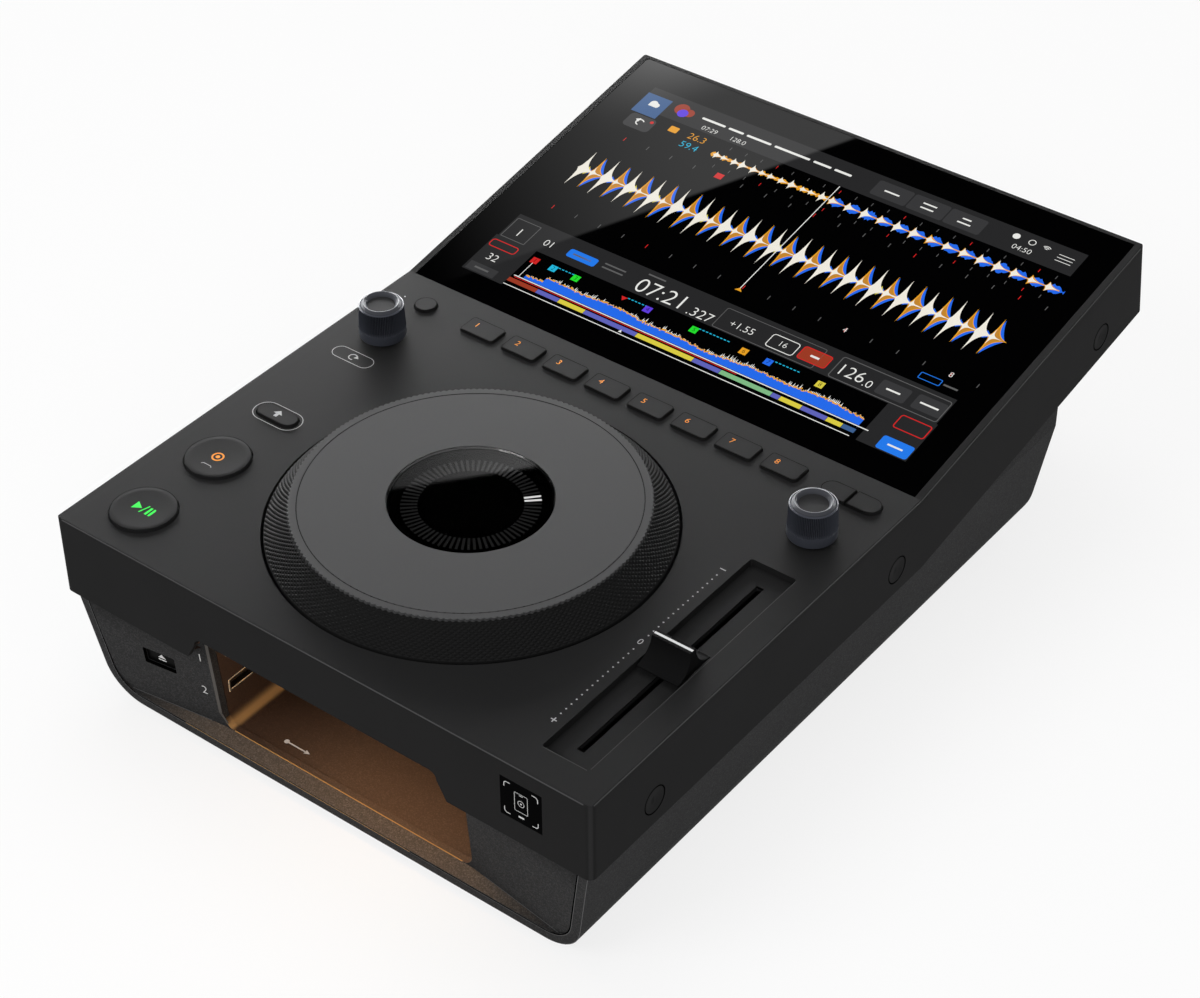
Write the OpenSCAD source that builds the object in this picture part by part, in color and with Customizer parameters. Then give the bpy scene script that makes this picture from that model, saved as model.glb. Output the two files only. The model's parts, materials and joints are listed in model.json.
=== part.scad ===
// Tabletop media player for DJs: a level control deck with a jog wheel and a tempo slider,
// a large touch screen that slopes up behind it, and a tapered base with a lit USB bay in front.
// The origin is on the table under the middle of the player. The front faces -Y and +Z is up.

/* [Case] */
// Width of the case
case_w = 260; // [256:0.5:280]
// Height of the deck's top face above the table
deck_z = 91.6; // [88:0.1:100]
// Height of the case's side walls
case_t = 36.4; // [34:0.1:40]
// Length of the level deck, from the front edge to the fold
deck_len = 209.2; // [208:0.1:220]
// Slope of the screen housing in degrees
screen_tilt = 9.6; // [6:0.1:14]
// Length of the screen housing along its slope
screen_len = 171; // [170:0.5:185]
// Thickness of the case's walls
case_wall = 2.4; // [2:0.1:3]
// Radius of the case's upright corners
corner_r = 3; // [1:0.5:6]
// Bevel along the case's top edges
edge_bevel = 0.6; // [0.2:0.1:1.5]

/* [Base] */
// Height of the rubber feet
foot_h = 3; // [2:0.5:6]
// Half width of the base where its side lines reach the bottom
base_half_w = 117.5; // [112:0.5:118]
// Outward slope of the base's sides in degrees
base_draft = 10; // [6:0.5:12]
// Radius of the base's long bottom corners
base_corner_r = 17.6; // [10:0.2:20]
// Distance of the base's front from the case's front, at the bottom
base_front_y = 7.1; // [6:0.1:12]
// Forward lean of the base's front face in degrees
base_lean = 4.9; // [3:0.1:6]
// Distance of the base's rear face from the case's front
base_rear_y = 321; // [310:1:330]
// Thickness of the base's walls
base_wall = 2.5; // [2:0.1:3.5]
// Width of the rim round the front panel
rim_w = 4.4; // [3:0.1:6]

/* [USB bay] */
// Half width of the bay's opening
bay_half_w = 63.3; // [50:0.1:64]
// Depth of the bay from the case's front
bay_depth = 62; // [45:1:66]
// Height of the bay's floor above the base's bottom
bay_floor_h = 5.4; // [5:0.1:8]

/* [Jog wheel] */
// Distance of the jog wheel's axis from the case's front
jog_y = 93.9; // [92:0.1:96]
// Radius of the jog wheel at the deck
jog_r = 79.7; // [75:0.1:80]
// Height of the jog wheel above the deck
jog_h = 12; // [9:0.1:14]
// Radius of the jog wheel's flat top
jog_top_r = 69.2; // [66:0.1:70]
// Radius of the round window in the jog wheel
jog_window_r = 32.4; // [30:0.1:34]
// Number of grip columns round the jog wheel
jog_grips = 240; // [120:4:260]
// Number of teeth round the flat top's edge
jog_teeth = 180; // [90:1:240]

/* [Knobs and slider] */
// Half the distance between the two rotary knobs
knob_x = 107.7; // [106:0.1:108]
// Distance of the knobs from the case's front
knob_y = 166.4; // [165:0.1:168]
// Height of a knob's top above the deck
knob_h = 17; // [14:0.5:22]
// Radius of a knob at its foot
knob_r = 9.9; // [8:0.1:10.5]
// Number of ribs round a knob
knob_ribs = 64; // [32:1:72]
// Travel of the tempo slider to each side of its middle
slider_travel = 50; // [30:1:51]

/* [Buttons] */
// Radius of the two large round buttons
round_r = 13.4; // [12:0.1:13.5]
// Width of a performance pad
pad_w = 17.1; // [14:0.1:17.5]
// Depth of a performance pad
pad_d = 10.3; // [9:0.1:10.5]
// Distance from one pad to the next
pad_pitch = 21.74; // [19:0.02:22]
// How far the buttons stand above the deck
button_h = 1.1; // [0.9:0.1:1.5]
// Gap round each button
button_gap = 0.4; // [0.3:0.05:0.5]

/* [Hidden] */

$fn = 96;
wide_fn = 120;
rim_fn = 180;
eps = 0.01;

// Case, worked out from the driving sizes
tilt_c = cos(screen_tilt);
tilt_s = sin(screen_tilt);
case_depth = deck_len + screen_len * tilt_c + case_t * tilt_s;
case_bottom = deck_z - case_t;
deck_under = deck_z - case_wall;

// Base
base_lip = 3;
lip_half_w = case_w / 2 - case_wall - 0.3;
lip_front_y = case_wall + 0.3;
side_cx = base_half_w + base_corner_r * (tan(base_draft) - 1 / cos(base_draft));
rear_cy = base_rear_y - base_corner_r;
section_top = 120;
panel_gap = 0.45;
panel_t = 3;
wing_x = 118;
wing_depth = 7.1;
floor_z = foot_h + bay_floor_h;
base_inside = foot_h + base_wall + 0.02;

// Bay
bay_wall = 2;
bay_top = 70;
bay_corner_r = 6;
light_w = 104;
light_y = 12;
light_d = 5;
port_y = 25;
port_w = 13.1;
port_h = 5.7;
port_depth = 14;
upper_port_z = foot_h + 42.5;
lower_port_z = foot_h + 24;

// Notch in the case's front wall above the bay
notch_low_w = 64.7;
notch_top_w = 59.8;
notch_h = 11.6;
notch_r = 3.5;

// Eject button on the left wing of the front panel
eject_x = -90.3;
eject_z = foot_h + 29.7;
eject_w = 15.2;
eject_h = 8.2;
eject_recess = 1.6;
wing_angle = atan(wing_depth / (wing_x - bay_half_w));

// Touch tag on the case's front
badge_x = 99;
badge_z = foot_h + 71.8;
badge_w = 18.8;
badge_t = 0.8;

// Screws' cover plugs in the case's sides
plug_r = 6;
plug_t = 1.2;
plug_spots = [[36.8, foot_h + 63.7], [194.1, foot_h + 63.8], [347.3, foot_h + 87.1]];

// Screen: sizes along the slope, from the fold
glass_half_w = 126.3;
glass_end = 168.4;
glass_t = 1.25;
lcd_half_w = 117;
lcd_start = 9;
lcd_end = 157;
lcd_t = 5.5;
fit_gap = 0.2;

// Jog wheel heights and radii
jog_open_r = jog_r + 1;
tray_r = 87;
tray_floor = deck_z - 16;
hub_web_z = deck_z - 4.6;
hub_web_t = 2.4;
ring_foot = deck_z - hub_web_z - hub_web_t;
post_r = 18;
bearing_r = 24;
running_gap = 0.05;
collar_r = 31.9;
collar_t = 2.4;
grip_rows = 9;
grip_relief = 0.5;
grip_out = 0.72;
grip_up = 0.69;
ring_t = 3.4;
ring_low_r = jog_r - 0.1;
ring_high_r = jog_top_r + 0.3;
ring_h = jog_h * 0.9;
lens_z = deck_z + 8.7;
top_plate_t = 1.2;

// Buttons
press_gap = 0.3;
flange_t = 1.2;
flange_w = 1;
stem_r = 1.8;
button_travel = 0.8;
play_spot = [-105.2, 23.2];
cue_spot = [-104.9, 64.1];
shift_spot = [-104.8, 98.7];
shift_w = 19.6;
shift_d = 8.2;
erase_spot = [-107, 193.2];
erase_r = 4.8;
pill_spot = [107.5, 193.6];
pill_w = 26.8;
pill_d = 9.6;
pill_split = 1;
pill_stem_x = 7;
pads = 8;
pad_y = 193.5;
board_top = deck_z - 9;
board_t = 1.6;
switch_h = 3;
switch_w = 6;
inner_board_z = foot_h + 12;
standoff_r = 2.6;

// Knobs
shaft_r = 3;
shaft_gap = 0.08;
knob_lift = 0.9;
encoder_w = 12;
encoder_top = deck_z - 9;
encoder_h = 9;
bush_r = 4.6;
bush_gap = 0.6;
plunger_h = 3;

// Tempo slider
slider_x = 107.7;
slider_y = 77.7;
recess_w = 20.8;
recess_len = 127;
recess_depth = 3.2;
recess_r = 1.2;
slot_w = 2.6;
slot_len = 2 * slider_travel + 9;
cap_w = 18.6;
cap_len = 20;
cap_h = 9;
rod_r = 1.5;
rod_spread = 8;
rod_z = deck_z - 13;

// Screws between the base and the top cover
screw_spots = [[-98, 43.6], [87.5, 19], [-96, 130], [89, 160], [-98, 206.5], [98, 206.5]];
boss_r = 4;
peg_spots = [
    [-118, 44, 2], [-93, 11, 1.6], [-119, 100, 1.6], [-99, 82, 2],
    [-115.6, 193.5, 1.2], [-93.5, 193.5, 2], [0, 193.5, 0.9], [89.2, 193.5, 2]
];
post_top = 52;
screw_r = 1.45;
pilot_r = 1.3;
head_r = 3;

// Feet, whose upper ends sit in shallow seats of the base
foot_x = 92;
foot_rows = [34, 288];
foot_r = 11;
foot_sink = 0.75;

// Connectors on the rear plates
rear_plate_w = 196;
rear_plate_h = 32;
rear_plate_t = 1.1;
rear_plate_z = foot_h + 34;
rear_plate_y = base_rear_y - 1.15;
rear_lap = 2;
plate_split_x = 30;
plate_split_gap = 0.2;
jack_z = rear_plate_z - 2;
jack_spots = [44, 62, 80];
jack_hole_r = 3.8;
jack_shell_r = 4.15;
jack_len = 9;
jack_bore_r = 1.7;
network_x = 14;
network_w = 16;
network_h = 14;
inlet_x = -78;
inlet_w = 28;
inlet_h = 21;
power_x = -48;
power_w = 8.8;
plate_slip = 0.2;

// ---- Shared shapes ----

// Moves a piece from the layout, where y = 0 is the case's front, to the part's own frame
module in_frame() {
    translate([0, -case_depth / 2, 0]) children();
}

// Outline drawn in Y and Z, stretched across the player
module across(w) {
    rotate([90, 0, 90]) linear_extrude(height = w, center = true) children();
}

// Outline drawn in X and Z, stretched from y0 to y1
module along(y0, y1) {
    translate([0, y1, 0]) rotate([90, 0, 0]) linear_extrude(height = y1 - y0) children();
}

// Rectangle with true round corners, centred
module rounded(w, d, r) {
    square([w - 2 * r, d], center = true);
    square([w, d - 2 * r], center = true);
    for (x = [-1, 1], y = [-1, 1]) {
        translate([x * (w / 2 - r), y * (d / 2 - r)]) circle(r);
    }
}

// Tube standing on z = 0
module tube(r_out, r_in, h) {
    difference() {
        cylinder(r = r_out, h = h);
        translate([0, 0, -1]) cylinder(r = r_in, h = h + 2);
    }
}

// Points of the bent case, at a depth below its top face
function fold_at(t) = [deck_len + t * tan(screen_tilt / 2), deck_z - t];
function slope_at(l, t) = [deck_len + l * tilt_c + t * tilt_s, deck_z + l * tilt_s - t * tilt_c];

// Bent slab that follows the deck and the screen, between two depths below the top face
module bent_slab(w, t0, t1, y0, l1) {
    across(w) polygon([
        [y0, deck_z - t0], fold_at(t0), slope_at(l1, t0),
        slope_at(l1, t1), fold_at(t1), [y0, deck_z - t1]
    ]);
}

// Frame of the screen: x across, y up the slope, z out of the glass
module on_screen() {
    translate([0, deck_len, deck_z]) rotate([screen_tilt, 0, 0]) children();
}

// Frame of the base's leaning front face: z up the face, y into the base
module on_front() {
    translate([0, base_front_y, foot_h]) rotate([base_lean, 0, 0]) children();
}

// Section of the base across the player, inset by t, open towards the top
module base_section(t) {
    r = base_corner_r - t;
    cz = foot_h + base_corner_r;
    side_x = base_half_w - t / cos(base_draft);
    top_x = side_x + (section_top - foot_h) * tan(base_draft);
    tangent = [side_cx + r * cos(base_draft), cz - r * sin(base_draft)];
    polygon([
        [-side_cx, foot_h + t], [side_cx, foot_h + t], tangent, [top_x, section_top],
        [-top_x, section_top], [-tangent[0], tangent[1]]
    ]);
    for (x = [-side_cx, side_cx]) translate([x, cz]) circle(r);
}

// Section of the base along the player, inset by t
module base_profile(t) {
    r = base_corner_r - t;
    front_y = base_front_y + t;
    polygon([
        [front_y - t * tan(base_lean), foot_h + t], [rear_cy, foot_h + t],
        [base_rear_y - t, foot_h + base_corner_r], [base_rear_y - t, section_top],
        [front_y - (section_top - foot_h) * tan(base_lean), section_top]
    ]);
    translate([rear_cy, foot_h + base_corner_r]) circle(r);
}

// Solid of the base's outer form, inset by t and with its top raised by extra
module base_form(t, extra) {
    intersection() {
        along(-1, base_rear_y + 1) base_section(t);
        across(case_w) base_profile(t);
        bent_slab(2 * (lip_half_w - t), case_t - base_lip - extra, case_t + 90, lip_front_y + t, screen_len);
    }
}

// ---- Case ----

// Cutter that rounds one upright corner whose outer edge is at the origin
module corner_cutter(h) {
    difference() {
        translate([-1, -1, 0]) cube([corner_r + 1, corner_r + 1, h]);
        translate([corner_r, corner_r, -1]) cylinder(r = corner_r, h = h + 2);
    }
}

// Cutter that bevels a straight edge along Y, at the origin
module bevel_cutter(length) {
    rotate([0, 45, 0]) cube([edge_bevel * sqrt(2), length, edge_bevel * sqrt(2)], center = true);
}

module case_shell() {
    difference() {
        bent_slab(case_w, 0, case_t, 0, screen_len);
        bent_slab(case_w - 2 * case_wall, case_wall, case_t + 5, case_wall, screen_len - case_wall);
        for (s = [0, 1]) mirror([s, 0, 0]) {
            translate([-case_w / 2, 0, case_bottom - 1]) corner_cutter(case_t + 2);
            on_screen() translate([-case_w / 2, screen_len, -case_t - 1])
                mirror([0, 1, 0]) corner_cutter(case_t + 2);
            translate([case_w / 2, deck_len / 2, deck_z]) bevel_cutter(deck_len + 8);
            on_screen() translate([case_w / 2, screen_len / 2, 0]) bevel_cutter(screen_len + 8);
        }
        translate([0, 0, deck_z]) rotate([0, 0, 90]) bevel_cutter(case_w + 2);
        on_screen() translate([0, screen_len, 0]) rotate([0, 0, 90]) bevel_cutter(case_w + 2);
    }
}

// Opening in the front wall that shows the lit bay
module notch_outline() {
    low = case_bottom - 1;
    high = case_bottom + notch_h;
    polygon([
        [-notch_low_w, low], [notch_low_w, low], [notch_top_w, high - notch_r],
        [notch_top_w - notch_r, high], [notch_r - notch_top_w, high], [-notch_top_w, high - notch_r]
    ]);
    for (x = [-1, 1]) translate([x * (notch_top_w - notch_r), high - notch_r]) circle(notch_r);
}

// Two half-pill buttons share this opening
module pill_outline(grow) {
    rounded(pill_w + 2 * grow, pill_d + 2 * grow, pill_d / 2 + grow - eps);
}

module deck_openings() {
    translate([0, jog_y, 0]) circle(jog_open_r, $fn = rim_fn);
    for (p = [play_spot, cue_spot]) translate(p) circle(round_r + button_gap);
    translate(erase_spot) circle(erase_r + button_gap);
    translate(shift_spot) rounded(shift_w + 2 * button_gap, shift_d + 2 * button_gap, shift_d / 2);
    translate(pill_spot) pill_outline(button_gap);
    for (i = [0:pads - 1]) translate([pad_x(i), pad_y])
        rounded(pad_w + 2 * button_gap, pad_d + 2 * button_gap, 2);
    for (x = [-knob_x, knob_x]) translate([x, knob_y]) circle(bush_r + bush_gap);
}

function pad_x(i) = (i - (pads - 1) / 2) * pad_pitch;

module top_cover() {
    color("#262626") in_frame() difference() {
        union() {
            case_shell();
            // Trough that holds the tempo slider's recess
            translate([slider_x, slider_y, deck_z - recess_depth - 1.8])
                linear_extrude(recess_depth - case_wall + 1.8 + eps)
                    rounded(recess_w + 3.2, recess_len + 3.2, recess_r + 1.6);
            // Bosses for the screws that come up through the base
            for (p = screw_spots) translate([p[0], p[1], post_top])
                cylinder(r = boss_r, h = deck_under - post_top + 0.4);
            // Pegs that carry the two switch boards
            for (p = peg_spots) translate([p[0], p[1], board_top])
                cylinder(r = p[2], h = deck_under - board_top + 0.4);
            // Stiffening ribs under the deck
            for (x = [-88, 88]) translate([x - 0.8, 176, deck_under - 8]) cube([1.6, 8, 8.4]);
            for (y = [150, 178]) translate([-80, y, deck_under - 5]) cube([160, 1.4, 5.4]);
        }
        translate([0, 0, deck_under - 6]) linear_extrude(8 + case_wall) deck_openings();
        // The ribs stop short of the jog wheel's tray
        translate([0, jog_y, deck_under - 8]) cylinder(r = tray_r + 0.4, h = 8);
        // Recess and slot of the tempo slider
        translate([slider_x, slider_y, deck_z - recess_depth])
            linear_extrude(recess_depth + 1) rounded(recess_w, recess_len, recess_r);
        translate([slider_x, slider_y, deck_z - recess_depth - 3])
            linear_extrude(5) rounded(slot_w, slot_len, slot_w / 2 - eps);
        // Pilot holes of the bosses
        for (p = screw_spots) translate([p[0], p[1], post_top - 1]) cylinder(r = pilot_r, h = 16);
        // Pocket of the glass and the window of the panel under it
        on_screen() {
            translate([-glass_half_w - fit_gap, 0, -glass_t - 0.05])
                cube([2 * (glass_half_w + fit_gap), glass_end + fit_gap, 5]);
            translate([-lcd_half_w - fit_gap, lcd_start, -10])
                cube([2 * (lcd_half_w + fit_gap), lcd_end - lcd_start, 12]);
        }
        along(-1, case_wall + 1) notch_outline();
        translate([badge_x - badge_w / 2, -1, badge_z - badge_w / 2])
            cube([badge_w, badge_t + 1, badge_w]);
        for (s = [0, 1], p = plug_spots) mirror([s, 0, 0])
            translate([case_w / 2 - plug_t, p[0], p[1]]) rotate([0, 90, 0])
                cylinder(r = plug_r + 0.15, h = 3);
    }
}

module screen_rear_cover() {
    // Closes the underside of the screen housing behind the base
    l0 = (base_rear_y + 1 - deck_len) / tilt_c;
    color("#1d1d1d") in_frame() on_screen() difference() {
        translate([-case_w / 2 + case_wall + 0.2, l0, -case_t + 0.4])
            cube([case_w - 2 * case_wall - 0.4, screen_len - case_wall - 0.2 - l0, 2]);
        // Vent slots
        for (i = [-9:9]) translate([i * 9, l0 + 22, -case_t - 1]) linear_extrude(5) rounded(3, 16, 1.4);
    }
}

module side_plugs() {
    color("#202020") in_frame() for (s = [0, 1], p = plug_spots) mirror([s, 0, 0])
        translate([case_w / 2 - plug_t, p[0], p[1]]) rotate([0, 90, 0]) difference() {
            cylinder(r = plug_r, h = plug_t - 0.1);
            // Shallow dish, so that the plug can be prised out
            translate([0, 0, plug_t + 34.6]) sphere(r = 35);
        }
}

module front_badge() {
    color("#050505") in_frame()
        translate([badge_x - badge_w / 2 + 0.15, 0.05, badge_z - badge_w / 2 + 0.15])
            cube([badge_w - 0.3, badge_t - 0.05, badge_w - 0.3]);
}

// ---- Base ----

module bottom_chassis() {
    color("#2c2c2c") in_frame() difference() {
        union() {
            difference() {
                base_form(0, 0);
                base_form(base_wall, 2);
            }
            // Posts that meet the top cover's bosses
            for (p = screw_spots) translate([p[0], p[1], foot_h + 1])
                cylinder(r = boss_r + 0.5, h = post_top - foot_h - 1);
            // Floor ribs
            for (x = [-60, 0, 60]) translate([x - 1, 76, foot_h + 1]) cube([2, 228, 5]);
            for (y = [100, 190, 280]) translate([-98, y, foot_h + 1]) cube([196, 2, 5]);
        }
        // Opening of the front panel, framed by the rim
        along(-1, base_front_y + base_wall + 2) base_section(rim_w);
        for (p = screw_spots) translate([p[0], p[1], 0]) {
            cylinder(r = screw_r + 0.35, h = 60);
            cylinder(r = head_r + 0.4, h = foot_h + 6);
        }
        // Seats of the feet
        for (p = foot_spots()) translate([p[0], p[1], foot_h - 1])
            cylinder(r = foot_r + 0.2, h = foot_sink + 1.05);
        // Window behind the two rear plates, with a rebate that they lie in
        translate([0, 0, rear_plate_z]) {
            along(base_rear_y - 6, base_rear_y + 2)
                square([rear_plate_w - 2 * rear_lap, rear_plate_h - 2 * rear_lap], center = true);
            along(base_rear_y - 1.2, base_rear_y + 2)
                square([rear_plate_w + 0.3, rear_plate_h + 0.3], center = true);
        }
    }
}

// Half outline of the front panel's face in plan, from the middle of the player outwards
function panel_face(back) = [
    [-wing_x - 8, back], [-wing_x, back], [-bay_half_w, wing_depth + back],
    [bay_half_w, wing_depth + back], [wing_x, back], [wing_x + 8, back]
];
function reversed(list) = [for (i = [len(list) - 1:-1:0]) list[i]];

module eject_frame() {
    // Frame on the left wing: y into the base along the wing's normal
    on_front() translate([eject_x, (wing_x + eject_x) * tan(wing_angle), eject_z - foot_h])
        rotate([0, 0, wing_angle]) children();
}

// Outline of the bay with round lower corners, open far above its floor
module bay_outline(floor) {
    high = 100;
    translate([0, floor + high / 2]) rounded(2 * bay_half_w, high, bay_corner_r);
}

module front_panel() {
    outline_t = rim_w + panel_gap;
    color("#303030") in_frame() difference() {
        intersection() {
            along(-5, 40) base_section(outline_t);
            bent_slab(2 * lip_half_w - 2, case_t - base_lip, case_t + 90, lip_front_y, screen_len);
            on_front() union() {
                difference() {
                    translate([0, 0, -8]) linear_extrude(90)
                        polygon(concat(panel_face(0), reversed(panel_face(panel_t))));
                    // Bay opening with round lower corners
                    along(-20, 30) bay_outline(bay_floor_h);
                }
                // Ledge in front of the bay
                translate([0, 0, -8]) linear_extrude(8 + bay_floor_h)
                    polygon([[-wing_x, 0], [wing_x, 0], [bay_half_w, wing_depth + panel_t],
                        [-bay_half_w, wing_depth + panel_t]]);
            }
        }
        eject_frame() translate([0, -20, 0]) rotate([-90, 0, 0])
            linear_extrude(40) rounded(eject_w, eject_h, 0.8);
    }
}

module eject_button() {
    // A cap in the wing's window, with a flange behind the panel and a stem
    slip = 0.35;
    color("#101010") in_frame() eject_frame() rotate([-90, 0, 0]) {
        translate([0, 0, eject_recess]) linear_extrude(panel_t + 1 - eject_recess + eps)
            rounded(eject_w - 2 * slip, eject_h - 2 * slip, 0.5);
        translate([0, 0, panel_t + 0.8]) linear_extrude(1.4) rounded(eject_w + 2, eject_h + 2, 1);
        translate([0, 0, panel_t + 2]) cylinder(r = 1.6, h = 4);
    }
}

module usb_bay() {
    outer_w = 2 * (bay_half_w + bay_wall);
    split_z = case_bottom + base_lip + 0.3;
    color("#7a5430") in_frame() difference() {
        translate([-outer_w / 2, case_wall + 0.2, floor_z - 2])
            cube([outer_w, bay_depth + bay_wall - case_wall - 0.2, bay_top + bay_wall - floor_z + 2]);
        // Below the case, the walls start behind the leaning front panel
        intersection() {
            on_front() translate([-100, -60, -20]) cube([200, 60 + wing_depth + panel_t + 0.3, 100]);
            translate([-100, -10, -10]) cube([200, 60, split_z + 10]);
        }
        along(-5, bay_depth) difference() {
            bay_outline(floor_z + 0.4);
            translate([-100, bay_top]) square([200, 60]);
        }
        // Windows of the two sockets in the left wall
        for (z = [upper_port_z, lower_port_z])
            translate([-bay_half_w - 5, port_y - port_w / 2 - 0.2, z - port_h / 2 - 0.2])
                cube([8, port_w + 0.4, port_h + 0.4]);
        // Seat of the light bar in the roof
        translate([-light_w / 2 - 0.2, light_y - 0.2, bay_top - 1])
            cube([light_w + 0.4, light_d + 0.4, 2.2]);
    }
}

module bay_light_bar() {
    // Lamp strip under the roof that lights the bay
    color("#e0a23c") in_frame() translate([-light_w / 2, light_y, bay_top - 0.4])
        cube([light_w, light_d, 1.6]);
}

// Socket whose mouth is flush with the bay's left wall
module usb_port(z) {
    wall = 0.35;
    in_frame() translate([-bay_half_w + 0.5 - port_depth, port_y, z]) {
        difference() {
            translate([0, -port_w / 2, -port_h / 2]) cube([port_depth, port_w, port_h]);
            translate([1, -port_w / 2 + wall, -port_h / 2 + wall])
                cube([port_depth, port_w - 2 * wall, port_h - 2 * wall]);
        }
        // Tongue that carries the contacts
        translate([0, -port_w / 2 + 1, -0.1]) cube([port_depth - 1.5, port_w - 2, 1.9]);
    }
}

module usb_port_upper() {
    color("#c8c4bc") usb_port(upper_port_z);
}

module usb_port_lower() {
    color("#c8c4bc") usb_port(lower_port_z);
}

module usb_board() {
    low = lower_port_z - 10;
    x0 = -bay_half_w + 0.5 - port_depth - board_t;
    color("#1f5a34") in_frame() {
        translate([x0, port_y - 9, low]) cube([board_t - 0.05, 30, upper_port_z - low + 10]);
        // Small board with the switch behind the eject button
        eject_frame() {
            translate([-8, 13.3, -9]) cube([16, board_t, 18]);
            translate([-3, 10.3, -3]) cube([6, 3.1, 6]);
        }
    }
}

// ---- Screen ----

module screen_glass() {
    r = 1.5;
    color("#050506") in_frame() on_screen()
        translate([0, glass_end / 2 + 0.1, -glass_t]) linear_extrude(glass_t - 0.05)
            rounded(2 * glass_half_w, glass_end - 0.2, r);
}

module lcd_panel() {
    color("#15161a") in_frame() on_screen()
        translate([-lcd_half_w, lcd_start + fit_gap, -glass_t - lcd_t])
            cube([2 * lcd_half_w, lcd_end - lcd_start - 2 * fit_gap, lcd_t - 0.02]);
}

module screen_board() {
    color("#1f5a34") in_frame() on_screen() {
        translate([-70, 50, -12]) cube([140, 70, board_t]);
        for (x = [-66, 66], y = [54, 116]) translate([x, y, -10.5])
            cylinder(r = 2.5, h = 10.5 - glass_t - lcd_t - 0.02);
        translate([-20, 70, -14]) cube([36, 36, 2.2]);
        translate([36, 62, -15]) cube([26, 12, 3.2]);
    }
}

// ---- Jog wheel ----

module at_jog() {
    in_frame() translate([0, jog_y, 0]) children();
}

module jog_tray() {
    // Dish under the deck's round opening, with a spoked floor
    color("#3a3c40") at_jog() {
        difference() {
            translate([0, 0, tray_floor])
                cylinder(r = tray_r, h = deck_under - tray_floor - 0.05, $fn = wide_fn);
            translate([0, 0, tray_floor + 1.8]) cylinder(r = tray_r - 2.5, h = 30, $fn = wide_fn);
            translate([0, 0, tray_floor - 1]) cylinder(r = post_r + 0.05, h = 4);
            // Six openings between the spokes
            for (a = [0:60:300]) rotate([0, 0, a + 30]) translate([54, 0, tray_floor - 1])
                linear_extrude(4) rounded(34, 22, 5);
        }
    }
}

module jog_post() {
    color("#3a3c40") at_jog() translate([0, 0, tray_floor]) difference() {
        union() {
            cylinder(r = post_r, h = lens_z - 6 - tray_floor);
            // Shoulder under the bearing and the plate that carries the display
            translate([0, 0, 1.8]) cylinder(r = post_r + 3, h = 2.4);
            translate([0, 0, lens_z - 8 - tray_floor]) cylinder(r = 30, h = 2);
        }
        translate([0, 0, -1]) cylinder(r = post_r - 3, h = 60);
    }
}

module jog_bearing() {
    // Plain bearing ring pressed on the post
    color("#d8d4c8") at_jog() translate([0, 0, tray_floor + 4.3])
        tube(bearing_r, post_r + 0.02, 8);
}

module jog_display() {
    color("#0c0c0e") at_jog() translate([0, 0, lens_z - 5.9]) tube(30, 6, 4.8);
}

module jog_lens() {
    color("#050506") at_jog() translate([0, 0, lens_z - 1]) difference() {
        cylinder(r = collar_r - 0.5, h = 1, $fn = wide_fn);
        // Fine bevel round the lens
        translate([0, 0, 0.7]) difference() {
            cylinder(r = collar_r + 2, h = 1, $fn = wide_fn);
            translate([0, 0, -1]) cylinder(r1 = collar_r + 0.8, r2 = collar_r - 1.2, h = 2, $fn = wide_fn);
        }
    }
}

module jog_hub() {
    // Bearing sleeve, spoked web and collar of the wheel, in one moulding
    top = deck_z + jog_h - top_plate_t;
    color("#1c1c1e") at_jog() difference() {
        union() {
            translate([0, 0, tray_floor + 4.6])
                cylinder(r = bearing_r + 3, h = hub_web_z - tray_floor - 4.6 + eps);
            translate([0, 0, hub_web_z]) cylinder(r = jog_r - 1, h = hub_web_t, $fn = wide_fn);
            translate([0, 0, hub_web_z]) cylinder(r = collar_r + collar_t, h = top - hub_web_z);
            for (a = [0:30:330]) rotate([0, 0, a]) translate([collar_r + 1, -1, hub_web_z + 1])
                cube([jog_r - 7 - collar_r, 2, 4.5]);
        }
        translate([0, 0, tray_floor]) cylinder(r = bearing_r + running_gap, h = 40);
        translate([0, 0, hub_web_z + hub_web_t]) cylinder(r = collar_r, h = 40);
        for (a = [0:30:330]) rotate([0, 0, a + 15]) translate([54, 0, hub_web_z - 1])
            linear_extrude(12) rounded(26, 12, 4);
    }
}

// Corner points of the grip, whose surface steps in and out like a net of small pyramids
function grip_point(i, j) =
    let (
        f = max(j - 1, 0) / (grip_rows - 1),
        lift = ((i + j) % 2 == 0 && j > 1 && j < grip_rows) ? grip_relief : 0,
        a = 360 * i / jog_grips,
        r = ring_low_r + (ring_high_r - ring_low_r) * f + lift * grip_out
    )
    [r * cos(a), r * sin(a), j == 0 ? -ring_foot : ring_h * f + lift * grip_up];
// Corner points of a plain circle of the ring, at a radius and a height
function ring_points(r, z) = [for (i = [0:jog_grips - 1])
    let (a = 360 * i / jog_grips) [r * cos(a), r * sin(a), z]];
// Two triangles between each pair of neighbours on two circles that start at two point numbers
function wall_faces(from, to) = [for (i = [0:jog_grips - 1]) let (k = (i + 1) % jog_grips)
    each [[from + i, to + i, to + k], [from + i, to + k, from + k]]];

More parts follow.
